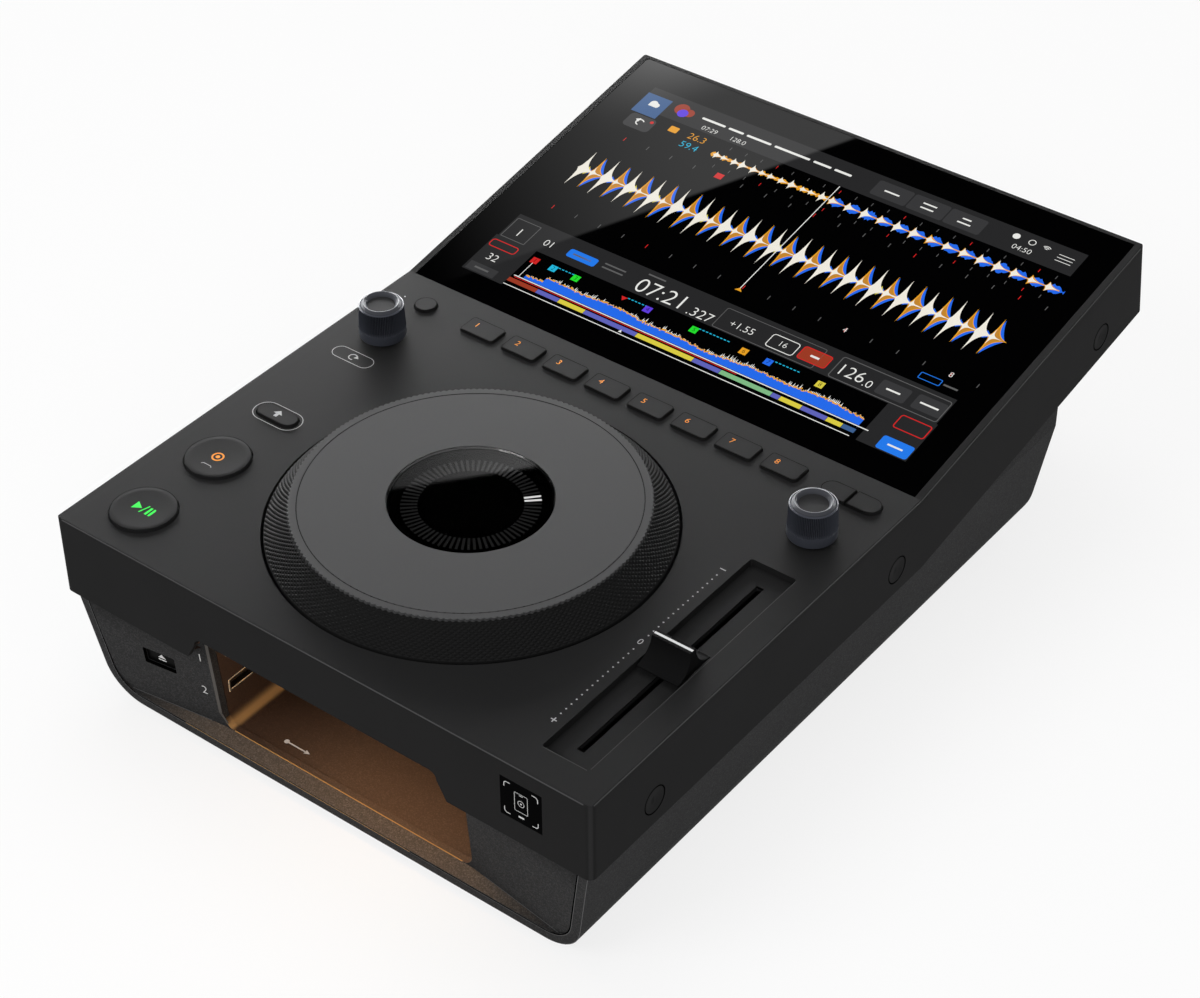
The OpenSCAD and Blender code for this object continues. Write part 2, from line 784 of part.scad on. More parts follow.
module jog_ring() {
    // Knurled skirt of the wheel, closed inside by a plain cone and a flat foot
    n = jog_grips;
    rows = grip_rows;
    grip_pts = [for (j = [0:rows], i = [0:n - 1]) grip_point(i, j)];
    low_pts = ring_points(ring_low_r - ring_t, -ring_foot);
    high_pts = ring_points(ring_high_r - ring_t, ring_h);
    low0 = (rows + 1) * n;
    high0 = low0 + n;
    // Each square is split along the diagonal that joins its two low corners
    grip_faces = [for (j = [0:rows - 1], i = [0:n - 1])
        let (a = j * n + i, b = j * n + (i + 1) % n, c = a + n, d = b + n)
        each ((i + j) % 2 == 0 ? [[a, c, b], [b, c, d]] : [[a, c, d], [a, d, b]])];
    color("#1a1a1a") at_jog() translate([0, 0, deck_z]) polyhedron(
        points = concat(grip_pts, low_pts, high_pts),
        faces = concat(
            grip_faces, wall_faces(low0, 0), wall_faces(high0, low0), wall_faces(rows * n, high0)
        ),
        convexity = 4
    );
}

module toothed_disc(r, depth, teeth) {
    polygon([for (i = [0:teeth - 1], k = [0:3])
        let (a = 360 * (i + k / 4) / teeth, q = k < 2 ? r : r - depth) [q * cos(a), q * sin(a)]]);
}

module jog_top_plate() {
    top = deck_z + jog_h;
    color("#565658") at_jog() difference() {
        union() {
            translate([0, 0, top - top_plate_t]) linear_extrude(0.6)
                toothed_disc(jog_top_r + 0.5, 0.5, jog_teeth);
            translate([0, 0, top - 0.6])
                cylinder(r1 = jog_top_r, r2 = jog_top_r - 0.4, h = 0.6, $fn = rim_fn);
        }
        translate([0, 0, top - 5]) cylinder(r = jog_window_r, h = 10, $fn = wide_fn);
        // Thin turned line near the edge
        translate([0, 0, top - 0.2]) tube(66.4, 66, 1);
    }
}

// ---- Buttons on the deck ----

// Cap through the deck with a flange under it and a stem; its outline is the child shape
module deck_button(p, stem_x = 0) {
    in_frame() translate([p[0], p[1], 0]) {
        translate([0, 0, deck_under - press_gap - eps])
            linear_extrude(case_wall + button_h + press_gap + eps) children(0);
        translate([0, 0, deck_under - press_gap - flange_t]) linear_extrude(flange_t) children(1);
        stem_z = board_top + switch_h + button_travel + 0.3;
        translate([stem_x, 0, stem_z]) cylinder(r = stem_r, h = deck_under - press_gap - stem_z - eps);
    }
}

module round_button(p, r) {
    difference() {
        deck_button(p) {
            circle(r);
            circle(r + flange_w);
        }
        // Shallow dish for the fingertip
        in_frame() translate([p[0], p[1], deck_z + button_h + 20 * r - 0.35])
            sphere(r = 20 * r, $fn = wide_fn);
    }
}

module play_button() {
    color("#242424") round_button(play_spot, round_r);
}

module cue_button() {
    color("#242424") round_button(cue_spot, round_r);
}

module erase_button() {
    color("#242424") deck_button(erase_spot) {
        circle(erase_r);
        circle(erase_r + flange_w);
    }
}

module shift_button() {
    color("#2b2b2b") deck_button(shift_spot) {
        rounded(shift_w, shift_d, shift_d / 2 - eps);
        rounded(shift_w + 2 * flange_w, shift_d + 2 * flange_w, shift_d / 2);
    }
}

// One half of the pill: side is -1 for the left half and 1 for the right half
module half_pill(side, grow, split) {
    intersection() {
        pill_outline(grow);
        translate([side * (split / 2 + 20), 0]) square(40, center = true);
    }
}

module back_button() {
    color("#242424") deck_button(pill_spot, -pill_stem_x) {
        half_pill(-1, 0, pill_split);
        half_pill(-1, flange_w, 0.4);
    }
}

module tag_button() {
    color("#242424") deck_button(pill_spot, pill_stem_x) {
        half_pill(1, 0, pill_split);
        half_pill(1, flange_w, 0.4);
    }
}

module pad(i) {
    color("#262626") deck_button([pad_x(i), pad_y]) {
        rounded(pad_w, pad_d, 1.6);
        rounded(pad_w + 2 * flange_w, pad_d + 2 * flange_w, 2);
    }
}

module pad_1() {
    pad(0);
}
module pad_2() {
    pad(1);
}
module pad_3() {
    pad(2);
}
module pad_4() {
    pad(3);
}
module pad_5() {
    pad(4);
}
module pad_6() {
    pad(5);
}
module pad_7() {
    pad(6);
}
module pad_8() {
    pad(7);
}

// ---- Rotary knobs ----

module at_knob(side) {
    in_frame() translate([side * knob_x, knob_y, 0]) children();
}

module knob() {
    low = deck_z + knob_lift;
    h = knob_h - knob_lift;
    difference() {
        intersection() {
            translate([0, 0, low]) rotate_extrude() polygon([
                [0, 0], [knob_r - 0.6, 0], [knob_r, 0.8], [knob_r - 0.2, h * 0.5], [knob_r - 0.7, h - 3.2],
                [knob_r - 1.2, h - 2], [knob_r - 2.1, h - 0.8], [knob_r - 2.4, h], [knob_r - 2.9, h],
                [knob_r - 3.3, h - 0.5], [knob_r - 4.3, h - 1.7], [0, h - 1.7]
            ]);
            // Ribs between the smooth foot and the bright shoulder
            translate([0, 0, low - 1]) union() {
                cylinder(r = knob_r + 1, h = 3.6);
                translate([0, 0, 3]) linear_extrude(h - 5) toothed_disc(knob_r + 0.1, 0.55, knob_ribs);
                translate([0, 0, h - 2.4]) cylinder(r = knob_r + 1, h = 10);
            }
        }
        // Blind bore for the shaft
        translate([0, 0, low - 1]) cylinder(r = shaft_r + 0.02, h = 10);
    }
}

module knob_shaft() {
    // Round shaft, from the plunger up into the knob
    low = encoder_top - encoder_h + plunger_h + 0.95;
    translate([0, 0, low]) cylinder(r = shaft_r, h = deck_z + knob_lift + 8.8 - low);
    // Collar that keeps the shaft in the encoder
    translate([0, 0, low]) cylinder(r = shaft_r + 1.2, h = 1.2);
}

module knob_plunger() {
    translate([0, 0, encoder_top - encoder_h + 1.8]) cylinder(r = shaft_r - 0.5, h = plunger_h - 0.9);
    translate([0, 0, encoder_top - encoder_h + 1.8]) cylinder(r = shaft_r, h = 1);
}

module loop_knob() {
    color("#5a616c") at_knob(-1) knob();
}
module browse_knob() {
    color("#5a616c") at_knob(1) knob();
}
module loop_shaft() {
    color("#b8bcc0") at_knob(-1) knob_shaft();
}
module browse_shaft() {
    color("#b8bcc0") at_knob(1) knob_shaft();
}
module loop_plunger() {
    color("#e8e4da") at_knob(-1) knob_plunger();
}
module browse_plunger() {
    color("#e8e4da") at_knob(1) knob_plunger();
}

module encoders() {
    // Square bodies with round bushes, one under each knob
    bottom = encoder_top - encoder_h;
    color("#70757a") for (s = [-1, 1]) at_knob(s) difference() {
        union() {
            translate([-encoder_w / 2, -encoder_w / 2, bottom]) cube([encoder_w, encoder_w, encoder_h]);
            translate([0, 0, encoder_top - eps]) cylinder(r = bush_r, h = deck_z - encoder_top - 0.3);
        }
        translate([0, 0, bottom + 1]) cylinder(r = shaft_r + 1.6, h = encoder_h - 3);
        translate([0, 0, bottom + 2]) cylinder(r = shaft_r + shaft_gap, h = 40);
    }
}

// ---- Tempo slider ----

module at_slider() {
    in_frame() translate([slider_x, slider_y, 0]) children();
}

module tempo_cap() {
    // Ridge across the middle with a scoop on each side of it
    low = deck_z - 1;
    half = cap_len / 2;
    scoop_r = 8.4;
    color("#161617") at_slider() difference() {
        translate([0, 0, low]) intersection() {
            difference() {
                across(cap_w) polygon([
                    [-half, 0], [half, 0], [half, 2], [half - 0.5, 2.6], [3.4, cap_h], [2.8, cap_h + 1],
                    [-2.8, cap_h + 1], [-3.4, cap_h], [0.5 - half, 2.6], [-half, 2]
                ]);
                for (s = [-1, 1]) translate([0, s * (half + 0.2), cap_h + 0.2]) rotate([0, 90, 0])
                    cylinder(r = scoop_r, h = cap_w + 2, center = true);
            }
            // Sides draw in a little towards the ridge
            along(-half - 1, half + 1) polygon([
                [-cap_w / 2, -1], [cap_w / 2, -1], [cap_w / 2, 2], [cap_w / 2 - 0.7, cap_h + 2],
                [0.7 - cap_w / 2, cap_h + 2], [-cap_w / 2, 2]
            ]);
        }
        // Blind slot for the lever
        translate([-0.65, -3, low - 1]) cube([1.3, 6, 5]);
    }
}

module tempo_carriage() {
    // Sliding block on the two rods, with the flat lever that comes up through the slot
    color("#c9c5bb") at_slider() difference() {
        union() {
            translate([-6.5, -8, rod_z - 2.8]) cube([13, 16, 5.6]);
            translate([-0.6, -2.9, rod_z]) cube([1.2, 5.8, deck_z + 2.4 - rod_z]);
        }
        for (x = [-1, 1]) translate([x * rod_spread / 2, 0, rod_z]) rotate([90, 0, 0])
            cylinder(r = rod_r + 0.06, h = 30, center = true);
    }
}

module tempo_unit() {
    // Pressed steel channel with two guide rods
    w = 17;
    len_y = slot_len + 18;
    top = deck_z - recess_depth - 1.85;
    color("#8d9195") at_slider() {
        difference() {
            translate([-w / 2, -len_y / 2, rod_z - 5]) cube([w, len_y, top - rod_z + 5]);
            translate([-w / 2 + 1.2, -len_y / 2 + 1.2, rod_z - 3.8])
                cube([w - 2.4, len_y - 2.4, top - rod_z + 2.6]);
            translate([-2, -slot_len / 2 - 1, rod_z]) cube([4, slot_len + 2, 20]);
        }
        for (x = [-1, 1]) translate([x * rod_spread / 2, 0, rod_z]) rotate([90, 0, 0])
            cylinder(r = rod_r, h = len_y - 1.6, center = true);
    }
}

// ---- Boards ----

// Push switch under a button's stem
module board_switch(x, y) {
    translate([x - switch_w / 2, y - switch_w / 2, board_top - eps]) cube([switch_w, switch_w, switch_h]);
}

module left_board() {
    // Carries the switches of the play, cue and shift buttons
    color("#1f5a34") in_frame() {
        translate([-122, 8, board_top - board_t]) cube([33, 26, board_t]);
        translate([-122, 8, board_top - board_t]) cube([9, 96, board_t]);
        translate([-122, 50, board_top - board_t]) cube([26, 54, board_t]);
        for (p = [play_spot, cue_spot, shift_spot]) board_switch(p[0], p[1]);
    }
}

module pad_board() {
    color("#1f5a34") in_frame() {
        translate([-118, pad_y - 6, board_top - board_t]) cube([238, 12, board_t]);
        for (i = [0:pads - 1]) board_switch(pad_x(i), pad_y);
        for (x = [erase_spot[0], pill_spot[0] - pill_stem_x, pill_spot[0] + pill_stem_x]) board_switch(x, pad_y);
    }
}

module main_board() {
    z = inner_board_z;
    color("#1f5a34") in_frame() {
        translate([-16, 84, z]) cube([96, 206, board_t]);
        for (p = [[-12, 90], [76, 90], [-12, 286], [76, 286]]) translate([p[0], p[1], base_inside])
            cylinder(r = standoff_r, h = z - base_inside + eps);
        // Processor with a finned heat sink, and smaller parts
        translate([20, 150, z + board_t - eps]) cube([40, 40, 3]);
        for (i = [0:8]) translate([21 + i * 4.6, 150, z + board_t + 2.9]) cube([1.4, 40, 11]);
        translate([30, 220, z + board_t - eps]) cube([22, 22, 2.4]);
        translate([0, 110, z + board_t - eps]) cube([14, 24, 2]);
        for (x = [60, 71]) translate([x, 250, z + board_t - eps]) cylinder(r = 4, h = 12);
    }
}

module power_supply() {
    z = inner_board_z;
    color("#8a6a2c") in_frame() {
        translate([-90, 196, z]) cube([64, 98, board_t]);
        for (p = [[-86, 200], [-31, 200], [-86, 289], [-31, 289]]) translate([p[0], p[1], base_inside])
            cylinder(r = standoff_r, h = z - base_inside + eps);
        translate([-78, 226, z + board_t - eps]) cube([30, 28, 22]);
        for (y = [212, 262]) translate([-50, y, z + board_t - eps]) cylinder(r = 8, h = 26);
        translate([-88, 262, z + board_t - eps]) cube([26, 14, 16]);
    }
}

// ---- Rear connectors ----

// Sheet of the rear between two places across the player; the children are its holes
module rear_sheet(x0, x1) {
    color("#3b3d40") in_frame() translate([0, rear_plate_y, 0]) difference() {
        translate([x0, 0, rear_plate_z - rear_plate_h / 2]) cube([x1 - x0, rear_plate_t, rear_plate_h]);
        translate([0, -1, jack_z]) children();
    }
}

// Square hole of a sheet at a place across the player
module sheet_hole(x, w, h) {
    translate([x - w / 2 - plate_slip, 0, -h / 2 - plate_slip])
        cube([w + 2 * plate_slip, 4, h + 2 * plate_slip]);
}

module rear_plate() {
    rear_sheet(-rear_plate_w / 2, plate_split_x - plate_split_gap / 2) {
        sheet_hole(network_x, network_w, network_h);
        sheet_hole(inlet_x, inlet_w, inlet_h);
        sheet_hole(power_x, power_w, power_w);
    }
}

module jack_plate() {
    rear_sheet(plate_split_x + plate_split_gap / 2, rear_plate_w / 2)
        for (x = jack_spots) translate([x, 0, 0]) rotate([-90, 0, 0]) cylinder(r = jack_hole_r, h = 4);
}

module audio_jacks() {
    // Round sockets: the plug's collar slides over the shell, its pin goes into the bore
    body_w = 11;
    body_h = 12;
    body_d = 12;
    color("#c0bcb2") in_frame() for (x = jack_spots) translate([x, rear_plate_y, jack_z])
        rotate([-90, 0, 0]) difference() {
        union() {
            translate([0, 0, rear_plate_t + 0.05]) cylinder(r = jack_shell_r, h = jack_len);
            translate([0, 0, -1]) cylinder(r = jack_hole_r - plate_slip, h = rear_plate_t + 1.4);
            translate([-body_w / 2, -body_h / 2, -body_d]) cube([body_w, body_h, body_d - 0.05]);
        }
        translate([0, 0, -4]) cylinder(r = jack_bore_r, h = 40);
    }
}

module network_jack() {
    // Shell with the plug's mouth and the notch of its latch
    depth = 14.4;
    back_t = 2.4;
    color("#9a9da0") in_frame() translate([network_x, base_rear_y - 14, jack_z]) difference() {
        translate([-network_w / 2, 0, -network_h / 2]) cube([network_w, depth, network_h]);
        translate([-6, back_t, -4.6]) cube([12, depth, 8]);
        translate([-3, back_t, -6.2]) cube([6, depth, 3]);
    }
}

module mains_inlet() {
    // Body with a flange outside the plate, and three blades in its mouth
    depth = 18;
    flange_w = 33;
    flange_h = 25;
    mouth_w = 24;
    mouth_h = 16.6;
    back_t = 3;
    color("#141414") in_frame() translate([inlet_x, base_rear_y - depth, jack_z]) {
        difference() {
            union() {
                translate([-inlet_w / 2, 0, -inlet_h / 2]) cube([inlet_w, depth + 1, inlet_h]);
                translate([-flange_w / 2, depth - 0.05, -flange_h / 2]) cube([flange_w, 2, flange_h]);
            }
            translate([-mouth_w / 2, back_t, -mouth_h / 2]) cube([mouth_w, depth, mouth_h]);
        }
        for (p = [[-7, -1.5], [7, -1.5], [0, 2.5]]) translate([p[0] - 1, back_t - 1, p[1] - 2])
            cube([2, 13, 4]);
    }
}

module power_button() {
    key_w = power_w - 2 * plate_slip;
    keeper_w = 11;
    color("#1a1a1a") in_frame() translate([power_x, rear_plate_y, jack_z]) rotate([-90, 0, 0]) {
        translate([0, 0, -2]) linear_extrude(6.2) rounded(key_w, key_w, 1);
        translate([0, 0, -1.7]) linear_extrude(1.4) rounded(keeper_w, keeper_w, 1);
        translate([0, 0, -7]) cylinder(r = 2, h = 5 + eps);
    }
}

// ---- Fasteners and feet ----

module base_screws() {
    color("#7c8084") in_frame() for (p = screw_spots) translate([p[0], p[1], foot_h + 4]) difference() {
        union() {
            cylinder(r = head_r, h = 1.9);
            cylinder(r = screw_r, h = post_top - foot_h - 4.1);
            translate([0, 0, post_top - foot_h - 4.2]) cylinder(r = pilot_r - 0.05, h = 12);
        }
        // Cross recess
        for (a = [0, 90]) rotate([0, 0, a]) translate([-1.8, -0.4, -1]) cube([3.6, 0.8, 2]);
    }
}

function foot_spots() = [for (x = [-foot_x, foot_x], y = foot_rows) [x, y]];

module feet() {
    color("#0e0e0e") in_frame() for (p = foot_spots()) translate([p[0], p[1], 0]) rotate_extrude()
        polygon([
            [0, 0], [foot_r - 1.6, 0], [foot_r - 0.6, 1],
            [foot_r, foot_h + foot_sink], [0, foot_h + foot_sink]
        ]);
}

top_cover();
bottom_chassis();
screen_rear_cover();
front_panel();
usb_bay();
bay_light_bar();
usb_port_upper();
usb_port_lower();
usb_board();
eject_button();
front_badge();
side_plugs();
screen_glass();
lcd_panel();
screen_board();
jog_tray();
jog_post();
jog_bearing();
jog_display();
jog_lens();
jog_hub();
jog_ring();
jog_top_plate();
play_button();
cue_button();
shift_button();
erase_button();
back_button();
tag_button();
pad_1();
pad_2();
pad_3();
pad_4();
pad_5();
pad_6();
pad_7();
pad_8();
loop_knob();
loop_shaft();
loop_plunger();
browse_knob();
browse_shaft();
browse_plunger();
encoders();
tempo_cap();
tempo_carriage();
tempo_unit();
left_board();
pad_board();
main_board();
power_supply();
rear_plate();
jack_plate();
mains_inlet();
power_button();
network_jack();
audio_jacks();
base_screws();
feet();
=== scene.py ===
"""Dresses the tabletop media player: finishes, printed marks, the lit picture and the studio."""

import json
import math
import random

import bmesh
import bpy
from bpy.props import FloatProperty, FloatVectorProperty, IntProperty, PointerProperty
from mathutils import Matrix, Vector

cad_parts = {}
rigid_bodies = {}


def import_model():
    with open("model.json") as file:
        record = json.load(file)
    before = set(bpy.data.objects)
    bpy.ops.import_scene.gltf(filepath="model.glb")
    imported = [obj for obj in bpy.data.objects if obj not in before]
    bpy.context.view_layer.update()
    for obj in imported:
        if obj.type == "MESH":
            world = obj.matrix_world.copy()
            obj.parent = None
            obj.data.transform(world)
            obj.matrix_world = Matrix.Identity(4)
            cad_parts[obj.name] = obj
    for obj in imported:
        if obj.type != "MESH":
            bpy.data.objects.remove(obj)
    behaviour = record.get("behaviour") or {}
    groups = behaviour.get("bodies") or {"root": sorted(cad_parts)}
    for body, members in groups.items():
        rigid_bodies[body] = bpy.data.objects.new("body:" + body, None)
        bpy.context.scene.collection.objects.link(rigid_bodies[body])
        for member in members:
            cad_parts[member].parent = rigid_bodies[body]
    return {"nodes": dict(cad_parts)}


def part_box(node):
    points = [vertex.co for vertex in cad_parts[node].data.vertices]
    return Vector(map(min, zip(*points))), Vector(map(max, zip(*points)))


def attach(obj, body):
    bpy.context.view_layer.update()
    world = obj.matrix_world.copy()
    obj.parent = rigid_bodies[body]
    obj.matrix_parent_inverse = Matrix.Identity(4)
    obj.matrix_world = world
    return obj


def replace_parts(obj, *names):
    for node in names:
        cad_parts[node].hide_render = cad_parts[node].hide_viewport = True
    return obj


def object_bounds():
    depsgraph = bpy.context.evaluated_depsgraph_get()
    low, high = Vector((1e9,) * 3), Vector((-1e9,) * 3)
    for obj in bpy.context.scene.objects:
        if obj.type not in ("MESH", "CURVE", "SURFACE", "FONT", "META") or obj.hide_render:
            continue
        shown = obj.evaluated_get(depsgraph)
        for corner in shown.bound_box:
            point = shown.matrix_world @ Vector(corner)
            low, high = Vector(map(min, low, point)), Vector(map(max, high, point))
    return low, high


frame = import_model()
CAD_LOW, CAD_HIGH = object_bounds()

bl_info = {
    "name": "Tabletop media player dressing",
    "version": (1, 0, 0),
    "blender": (4, 5, 0),
    "location": "View3D > Sidebar > Player",
    "description": "Finishes, printed marks, lit picture and studio for a tabletop media player",
    "category": "Object",
}

# ---- Places: millimetres from the middle, the case's front edge and the floor; angles in degrees ----

MM = 0.001
FRONT_Y = CAD_LOW.y
CASE_HALF = 130.0
PLATE_TOP = 12.0
DECK_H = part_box("jog_top_plate")[1].z / MM - PLATE_TOP
FOLD_Y = 209.2
SCREEN_TILT = 9.6
GLASS_SINK = 0.05
FOOT_H = 3.0
BASE_FRONT = 7.1
BASE_LEAN = 4.9
BAY_HALF = 63.3
BAY_FLOOR = 5.4
WING_END = 118.0
WING_MID = 90.0
WING_ANGLE = math.atan(BASE_FRONT / (WING_END - BAY_HALF))
EJECT_X, EJECT_UP = -90.3, 29.7
PLUGS = ((36.8, 66.7), (194.1, 66.8), (347.3, 90.1))
WHEEL_Y = 93.9
LENS_TOP = 8.7
SLIDER_X, SLIDER_Y = 107.7, 77.7
KNOB_X, KNOB_Y = 107.7, 166.4
PADS, PAD_PITCH, PAD_Y = 8, 21.74, 193.5
PLAY, CUE, SHIFT, ERASE = (-105.2, 23.2), (-104.9, 64.1), (-104.8, 98.7), (-107.0, 193.2)
PILL_X, PILL_Y = 107.5, 193.6
ROUND_R = 13.4
KEY_TOP = 1.1
SCALE_X, SCALE_Y = 92.6, 78.3


def spot(x, y, z, turn=0.0, axis="X"):
    """Frame in millimetres at a place: x across, y from the case's front edge, z above the floor."""
    move = Matrix.Translation((x * MM, FRONT_Y + y * MM, z * MM))
    return move @ Matrix.Rotation(math.radians(turn), 4, axis) @ Matrix.Scale(MM, 4)


DECK = spot(0, 0, DECK_H)
SLOPE = spot(0, FOLD_Y, DECK_H, SCREEN_TILT)
RIM = spot(0, BASE_FRONT, FOOT_H, 90 + BASE_LEAN)


def on_wing(x, up):
    """Frame of a wing of the front panel, at a place across and up the base's leaning rim."""
    place = Matrix.Translation((x, up, (abs(x) - WING_END) * math.tan(WING_ANGLE)))
    return RIM @ place @ Matrix.Rotation(math.copysign(WING_ANGLE, -x), 4, "Y")


# ---- Flat outlines: an outline is a list of points; most shapes are lists of outlines ----


def rect(cx, cy, w, h):
    return [(cx + sx * w / 2, cy + sy * h / 2) for sx, sy in ((-1, -1), (1, -1), (1, 1), (-1, 1))]


def disc(cx, cy, r, n=32):
    return [(cx + r * math.cos(2 * math.pi * i / n), cy + r * math.sin(2 * math.pi * i / n)) for i in range(n)]


def rounded_rect(cx, cy, w, h, r, n=6):
    """Corner points run from the right side upwards, n + 1 for each corner."""
    points = []
    for k, (sx, sy) in enumerate(((1, 1), (-1, 1), (-1, -1), (1, -1))):
        for i in range(n + 1):
            a = math.pi / 2 * (k + i / n)
            points.append((cx + sx * (w / 2 - r) + r * math.cos(a), cy + sy * (h / 2 - r) + r * math.sin(a)))
    return points


def ribbon(outer, inner):
    """Quads between two open runs of points."""
    return [[outer[i], outer[i + 1], inner[i + 1], inner[i]] for i in range(len(outer) - 1)]


def band(outer, inner):
    """Quads between two outlines with the same number of points."""
    return ribbon(outer + outer[:1], inner + inner[:1])


def box_line(cx, cy, w, h, r, line):
    return band(rounded_rect(cx, cy, w, h, r), rounded_rect(cx, cy, w - 2 * line, h - 2 * line, max(r - line, 0.05)))


def ring(cx, cy, r, line, n=64):
    return band(disc(cx, cy, r, n), disc(cx, cy, r - line, n))


def stroke(x0, y0, x1, y1, line):
    """Straight line of a given width."""
    half = line / 2 / math.hypot(x1 - x0, y1 - y0)
    ox, oy = (y0 - y1) * half, (x1 - x0) * half
    return [(x0 - ox, y0 - oy), (x1 - ox, y1 - oy), (x1 + ox, y1 + oy), (x0 + ox, y0 + oy)]


def outlines(shapes):
    """Unpacks nested lists of outlines."""
    for shape in shapes:
        if isinstance(shape[0], tuple):
            yield shape
        else:
            yield from outlines(shape)


def moved(shapes, x, y):
    return [[(px + x, py + y) for px, py in shape] for shape in outlines(shapes)]


def numerals(text, x, y, size):
    """Outlines of plain figures, whose capital height is about 0.7 of size."""
    curve = bpy.data.curves.new("figures", "FONT")
    curve.body = text
    curve.size = size
    curve.offset = -0.012 * size
    curve.align_x = curve.align_y = "CENTER"
    carrier = put("figures", curve)
    graph = bpy.context.evaluated_depsgraph_get()
    mesh = bpy.data.meshes.new_from_object(carrier.evaluated_get(graph))
    shapes = [[tuple(mesh.vertices[v].co.xy) for v in face.vertices] for face in mesh.polygons]
    bpy.data.objects.remove(carrier)
    bpy.data.curves.remove(curve)
    bpy.data.meshes.remove(mesh)
    return moved(shapes, x, y)


# ---- Pieces ----


def put(name, data, place=None):
    """New object in the scene."""
    piece = bpy.data.objects.new(name, data)
    bpy.context.scene.collection.objects.link(piece)
    if place is not None:
        piece.matrix_world = place
    return piece


def link(name, mesh, material, body, slot):
    """New piece that rides on a body."""
    piece = put(name, mesh)
    mesh.materials.append(material)
    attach(piece, body)
    return piece


def to_mesh(bm, name, place, closed=True):
    """Places a mesh, with the faces of a closed one turned outwards."""
    if closed:
        bmesh.ops.recalc_face_normals(bm, faces=bm.faces)
    bm.transform(place)
    mesh = bpy.data.meshes.new(name)
    bm.to_mesh(mesh)
    bm.free()
    return mesh


def skin(bm, rows):
    """Faces between neighbouring rings of points; a ring of one point is a pole."""
    count = max(map(len, rows))
    for low, high in zip(rows, rows[1:]):
        for i in range(count):
            k = (i + 1) % count
            corners = (low[i % len(low)], low[k % len(low)], high[k % len(high)], high[i % len(high)])
            unique = list(dict.fromkeys(corners))
            if len(unique) > 2:
                bm.faces.new(unique)


def ink_layers(name, layers, place, material, body="player", slot="case_plastic", thick=0.03):
    """Printed or lit marks: layers is a list of (lift above the surface, outlines)."""
    bm = bmesh.new()
    for lift, shapes in layers:
        for shape in outlines(shapes):
            low, high = ([bm.verts.new((x, y, z)) for x, y in shape] for z in (lift - thick, lift))
            bm.faces.new(high)
            bm.faces.new(low[::-1])
            skin(bm, [low, high])
    return link(name, to_mesh(bm, name, place), material, body, slot)


def ink(name, lift, shapes, place, material, *owner, **more):
    return ink_layers(name, [(lift, shapes)], place, material, *owner, **more)


def turned(name, profile, place, material, body, slot, segments=128, smooth=30):
    """Revolves (radius, height) points in millimetres about the local z axis."""
    bm = bmesh.new()
    skin(bm, [[bm.verts.new((x, y, z)) for x, y in (disc(0, 0, r, segments) if r else [(0, 0)])] for r, z in profile])
    piece = link(name, to_mesh(bm, name, place), material, body, slot)
    shade(piece, smooth)
    return piece


def wrapped(name, rows, place, material, body, slot):
    """Closed skin round the axis through rings of (x, y, z) points; the last ring joins the first."""
    bm = bmesh.new()
    grid = [[bm.verts.new(point) for point in row] for row in rows]
    skin(bm, grid + grid[:1])
    return link(name, to_mesh(bm, name, place), material, body, slot)


def shade(piece, angle):
    """Smooth shading with creases kept above an angle in degrees."""
    bm = bmesh.new()
    bm.from_mesh(piece.data)
    for face in bm.faces:
        face.smooth = True
    for edge in bm.edges:
        edge.smooth = len(edge.link_faces) == 2 and edge.calc_face_angle(0) < math.radians(angle)
    bm.to_mesh(piece.data)
    bm.free()


def dress(material, *nodes):
    """Gives CAD nodes their finish."""
    for name in nodes:
        slots = frame["nodes"][name].data.materials
        slots.clear()
        slots.append(material)


def soften(width, *nodes):
    """Small moulded radius on the edges of CAD nodes, in millimetres."""
    for name in nodes:
        node = frame["nodes"][name]
        node.modifiers.new("Weld", "WELD").merge_threshold = 1e-6
        bevel = node.modifiers.new("Bevel", "BEVEL")
        bevel.width = width * MM
        bevel.segments = 2
        bevel.limit_method = "ANGLE"
        bevel.angle_limit = math.radians(35)
        bevel.harden_normals = True


# ---- Nodes ----


def feed(tree, node, values):
    """Sets a node's inputs, or links them where the value is a socket."""
    for key, value in values.items():
        if isinstance(value, bpy.types.NodeSocket):
            tree.links.new(value, node.inputs[key])
        else:
            node.inputs[key].default_value = value


def add(tree, kind, values, **options):
    """Adds a node and gives its outputs."""
    node = tree.nodes.new("ShaderNode" + kind)
    for key, value in options.items():
        setattr(node, key, value)
    feed(tree, node, values)
    return node.outputs


def maths(tree, operation, a, b=0.0, clamp=False):
    return add(tree, "Math", {0: a, 1: b}, operation=operation, use_clamp=clamp)[0]


def times(tree, a, b, clamp=False):
    return maths(tree, "MULTIPLY", a, b, clamp)


def location(tree, kind="Object"):
    return add(tree, "TexCoord", {})[kind]


def axes(tree, vector):
    return add(tree, "SeparateXYZ", {"Vector": vector})


def noise(tree, scale, detail=2.0, vector=None, **more):
    if vector is None:
        vector = location(tree)
    return add(tree, "TexNoise", {"Vector": vector, "Scale": scale, "Detail": detail} | more)["Fac"]


def spread(tree, value, low, high, top=1.0):
    """Spreads 0 to top over low to high."""
    return add(tree, "MapRange", {"Value": value, "From Max": top, "To Min": low, "To Max": high})["Result"]


def ramp(tree, value, start, end):
    """Smooth step from 0 at start to 1 at end."""
    values = {"Value": value, "From Min": start, "From Max": end}
    return add(tree, "MapRange", values, interpolation_type="SMOOTHSTEP")["Result"]


def mix(tree, factor, under, over, blend="MULTIPLY"):
    """Blends a colour or socket over another one where factor says."""
    a, b = (end if isinstance(end, bpy.types.NodeSocket) else (*end, 1) for end in (under, over))
    return add(tree, "Mix", {"Factor": factor, "A": a, "B": b}, data_type="RGBA", blend_type=blend)["Result"]


